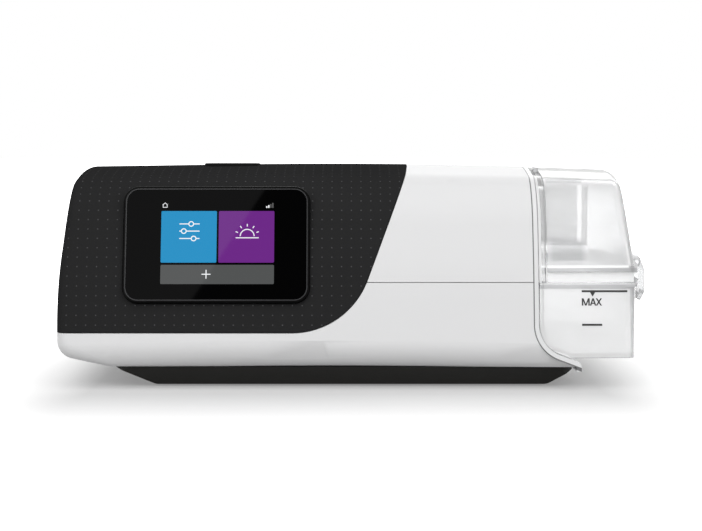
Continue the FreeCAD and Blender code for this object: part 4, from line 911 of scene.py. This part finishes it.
def layOnFront(piece, node, lift, thick):
    # drop each point along +Y on the node's front face, keeping the piece's own thickness
    carrier = nodes[node]
    bm = bmesh.new()
    bm.from_mesh(piece.data)
    for vertex in bm.verts:
        depth = vertex.co.y
        start = Vector((vertex.co.x, fillMarks["rayFront"] * mm, vertex.co.z))
        hit, spot, normal, _ = carrier.ray_cast(start, Vector((0, 1, 0)))
        if hit:
            vertex.co = spot + normal * (lift + (thick if depth < 0 else 0.0)) * mm
    bm.normal_update()
    bm.to_mesh(piece.data)
    bm.free()
    piece.data.update()


def standingStrip(left, right, low, high):
    # a thin upright strip with its front at -Y, cut so that it follows a curved wall
    clearSelection()
    bpy.ops.mesh.primitive_cube_add(size=1, location=((left + right) / 2 * mm, 0, (low + high) / 2 * mm))
    piece = bpy.context.object
    piece.scale = ((right - left) * mm, fillMarks["stripDeep"] * mm, (high - low) * mm)
    bpy.ops.object.transform_apply(location=True, rotation=False, scale=True)
    bpy.ops.object.mode_set(mode="EDIT")
    bpy.ops.mesh.select_all(action="SELECT")
    bpy.ops.mesh.subdivide(number_cuts=fillMarks["stripCuts"])
    bpy.ops.object.mode_set(mode="OBJECT")
    return piece


def slantedStrip(bottomX, topX, low, high, wide):
    # a strip with level ends whose top is shifted sideways from its bottom
    piece = standingStrip(bottomX - wide / 2, bottomX + wide / 2, low, high)
    for vertex in piece.data.vertices:
        vertex.co.x += (topX - bottomX) * mm * (vertex.co.z / mm - low) / (high - low)
    return piece


def makePointer(top):
    # a small triangle that hangs point down from the given height
    clearSelection()
    bpy.ops.mesh.primitive_cylinder_add(vertices=3, radius=fillMarks["pointerRadius"] * mm,
                                        depth=fillMarks["stripDeep"] * mm, rotation=(math.radians(90), 0, 0))
    pointer = bpy.context.object
    bpy.ops.object.mode_set(mode="EDIT")
    bpy.ops.mesh.select_all(action="SELECT")
    bpy.ops.mesh.bevel(offset=fillMarks["pointerRound"] * mm, segments=2, affect="EDGES")
    bpy.ops.object.mode_set(mode="OBJECT")
    bakePlace(pointer)
    heights = [vertex.co.z for vertex in pointer.data.vertices]
    if abs(min(heights)) < abs(max(heights)):
        pointer.data.transform(Matrix.Scale(-1.0, 4, (0, 0, 1)))
    highest = max(vertex.co.z for vertex in pointer.data.vertices)
    pointer.data.transform(Matrix.Translation((fillMarks["pointer"] * mm, 0, top * mm - highest)))
    return pointer


def makeFillMarks():
    left, tall = fillMarks["left"], fillMarks["lineTall"]
    parts = []
    for height, length in (fillMarks["maxLine"], fillMarks["lowLine"]):
        parts.append(standingStrip(left, left + length, height - tall / 2, height + tall / 2))
    parts.append(makePointer(fillMarks["maxLine"][0] - tall / 2))

    low = fillMarks["letterLow"]
    high = low + fillMarks["letterTall"]
    for begin, stop, bottom, top, wide in fillMarks["strokes"]:
        parts.append(slantedStrip(left + begin, left + stop, low + bottom, high - top, wide))
    marks = joinPieces("fillMarks", parts)
    layOnFront(marks, "tub_base", fillMarks["lift"], fillMarks["thick"])
    selectOnly(marks)
    bpy.ops.object.mode_set(mode="EDIT")
    bpy.ops.mesh.select_all(action="SELECT")
    bpy.ops.mesh.normals_make_consistent(inside=False)
    bpy.ops.object.mode_set(mode="OBJECT")
    finishPiece(marks, finishes["printBlack"], "tub")


makeFillMarks()
print("fill marks ready")

clearSelection()
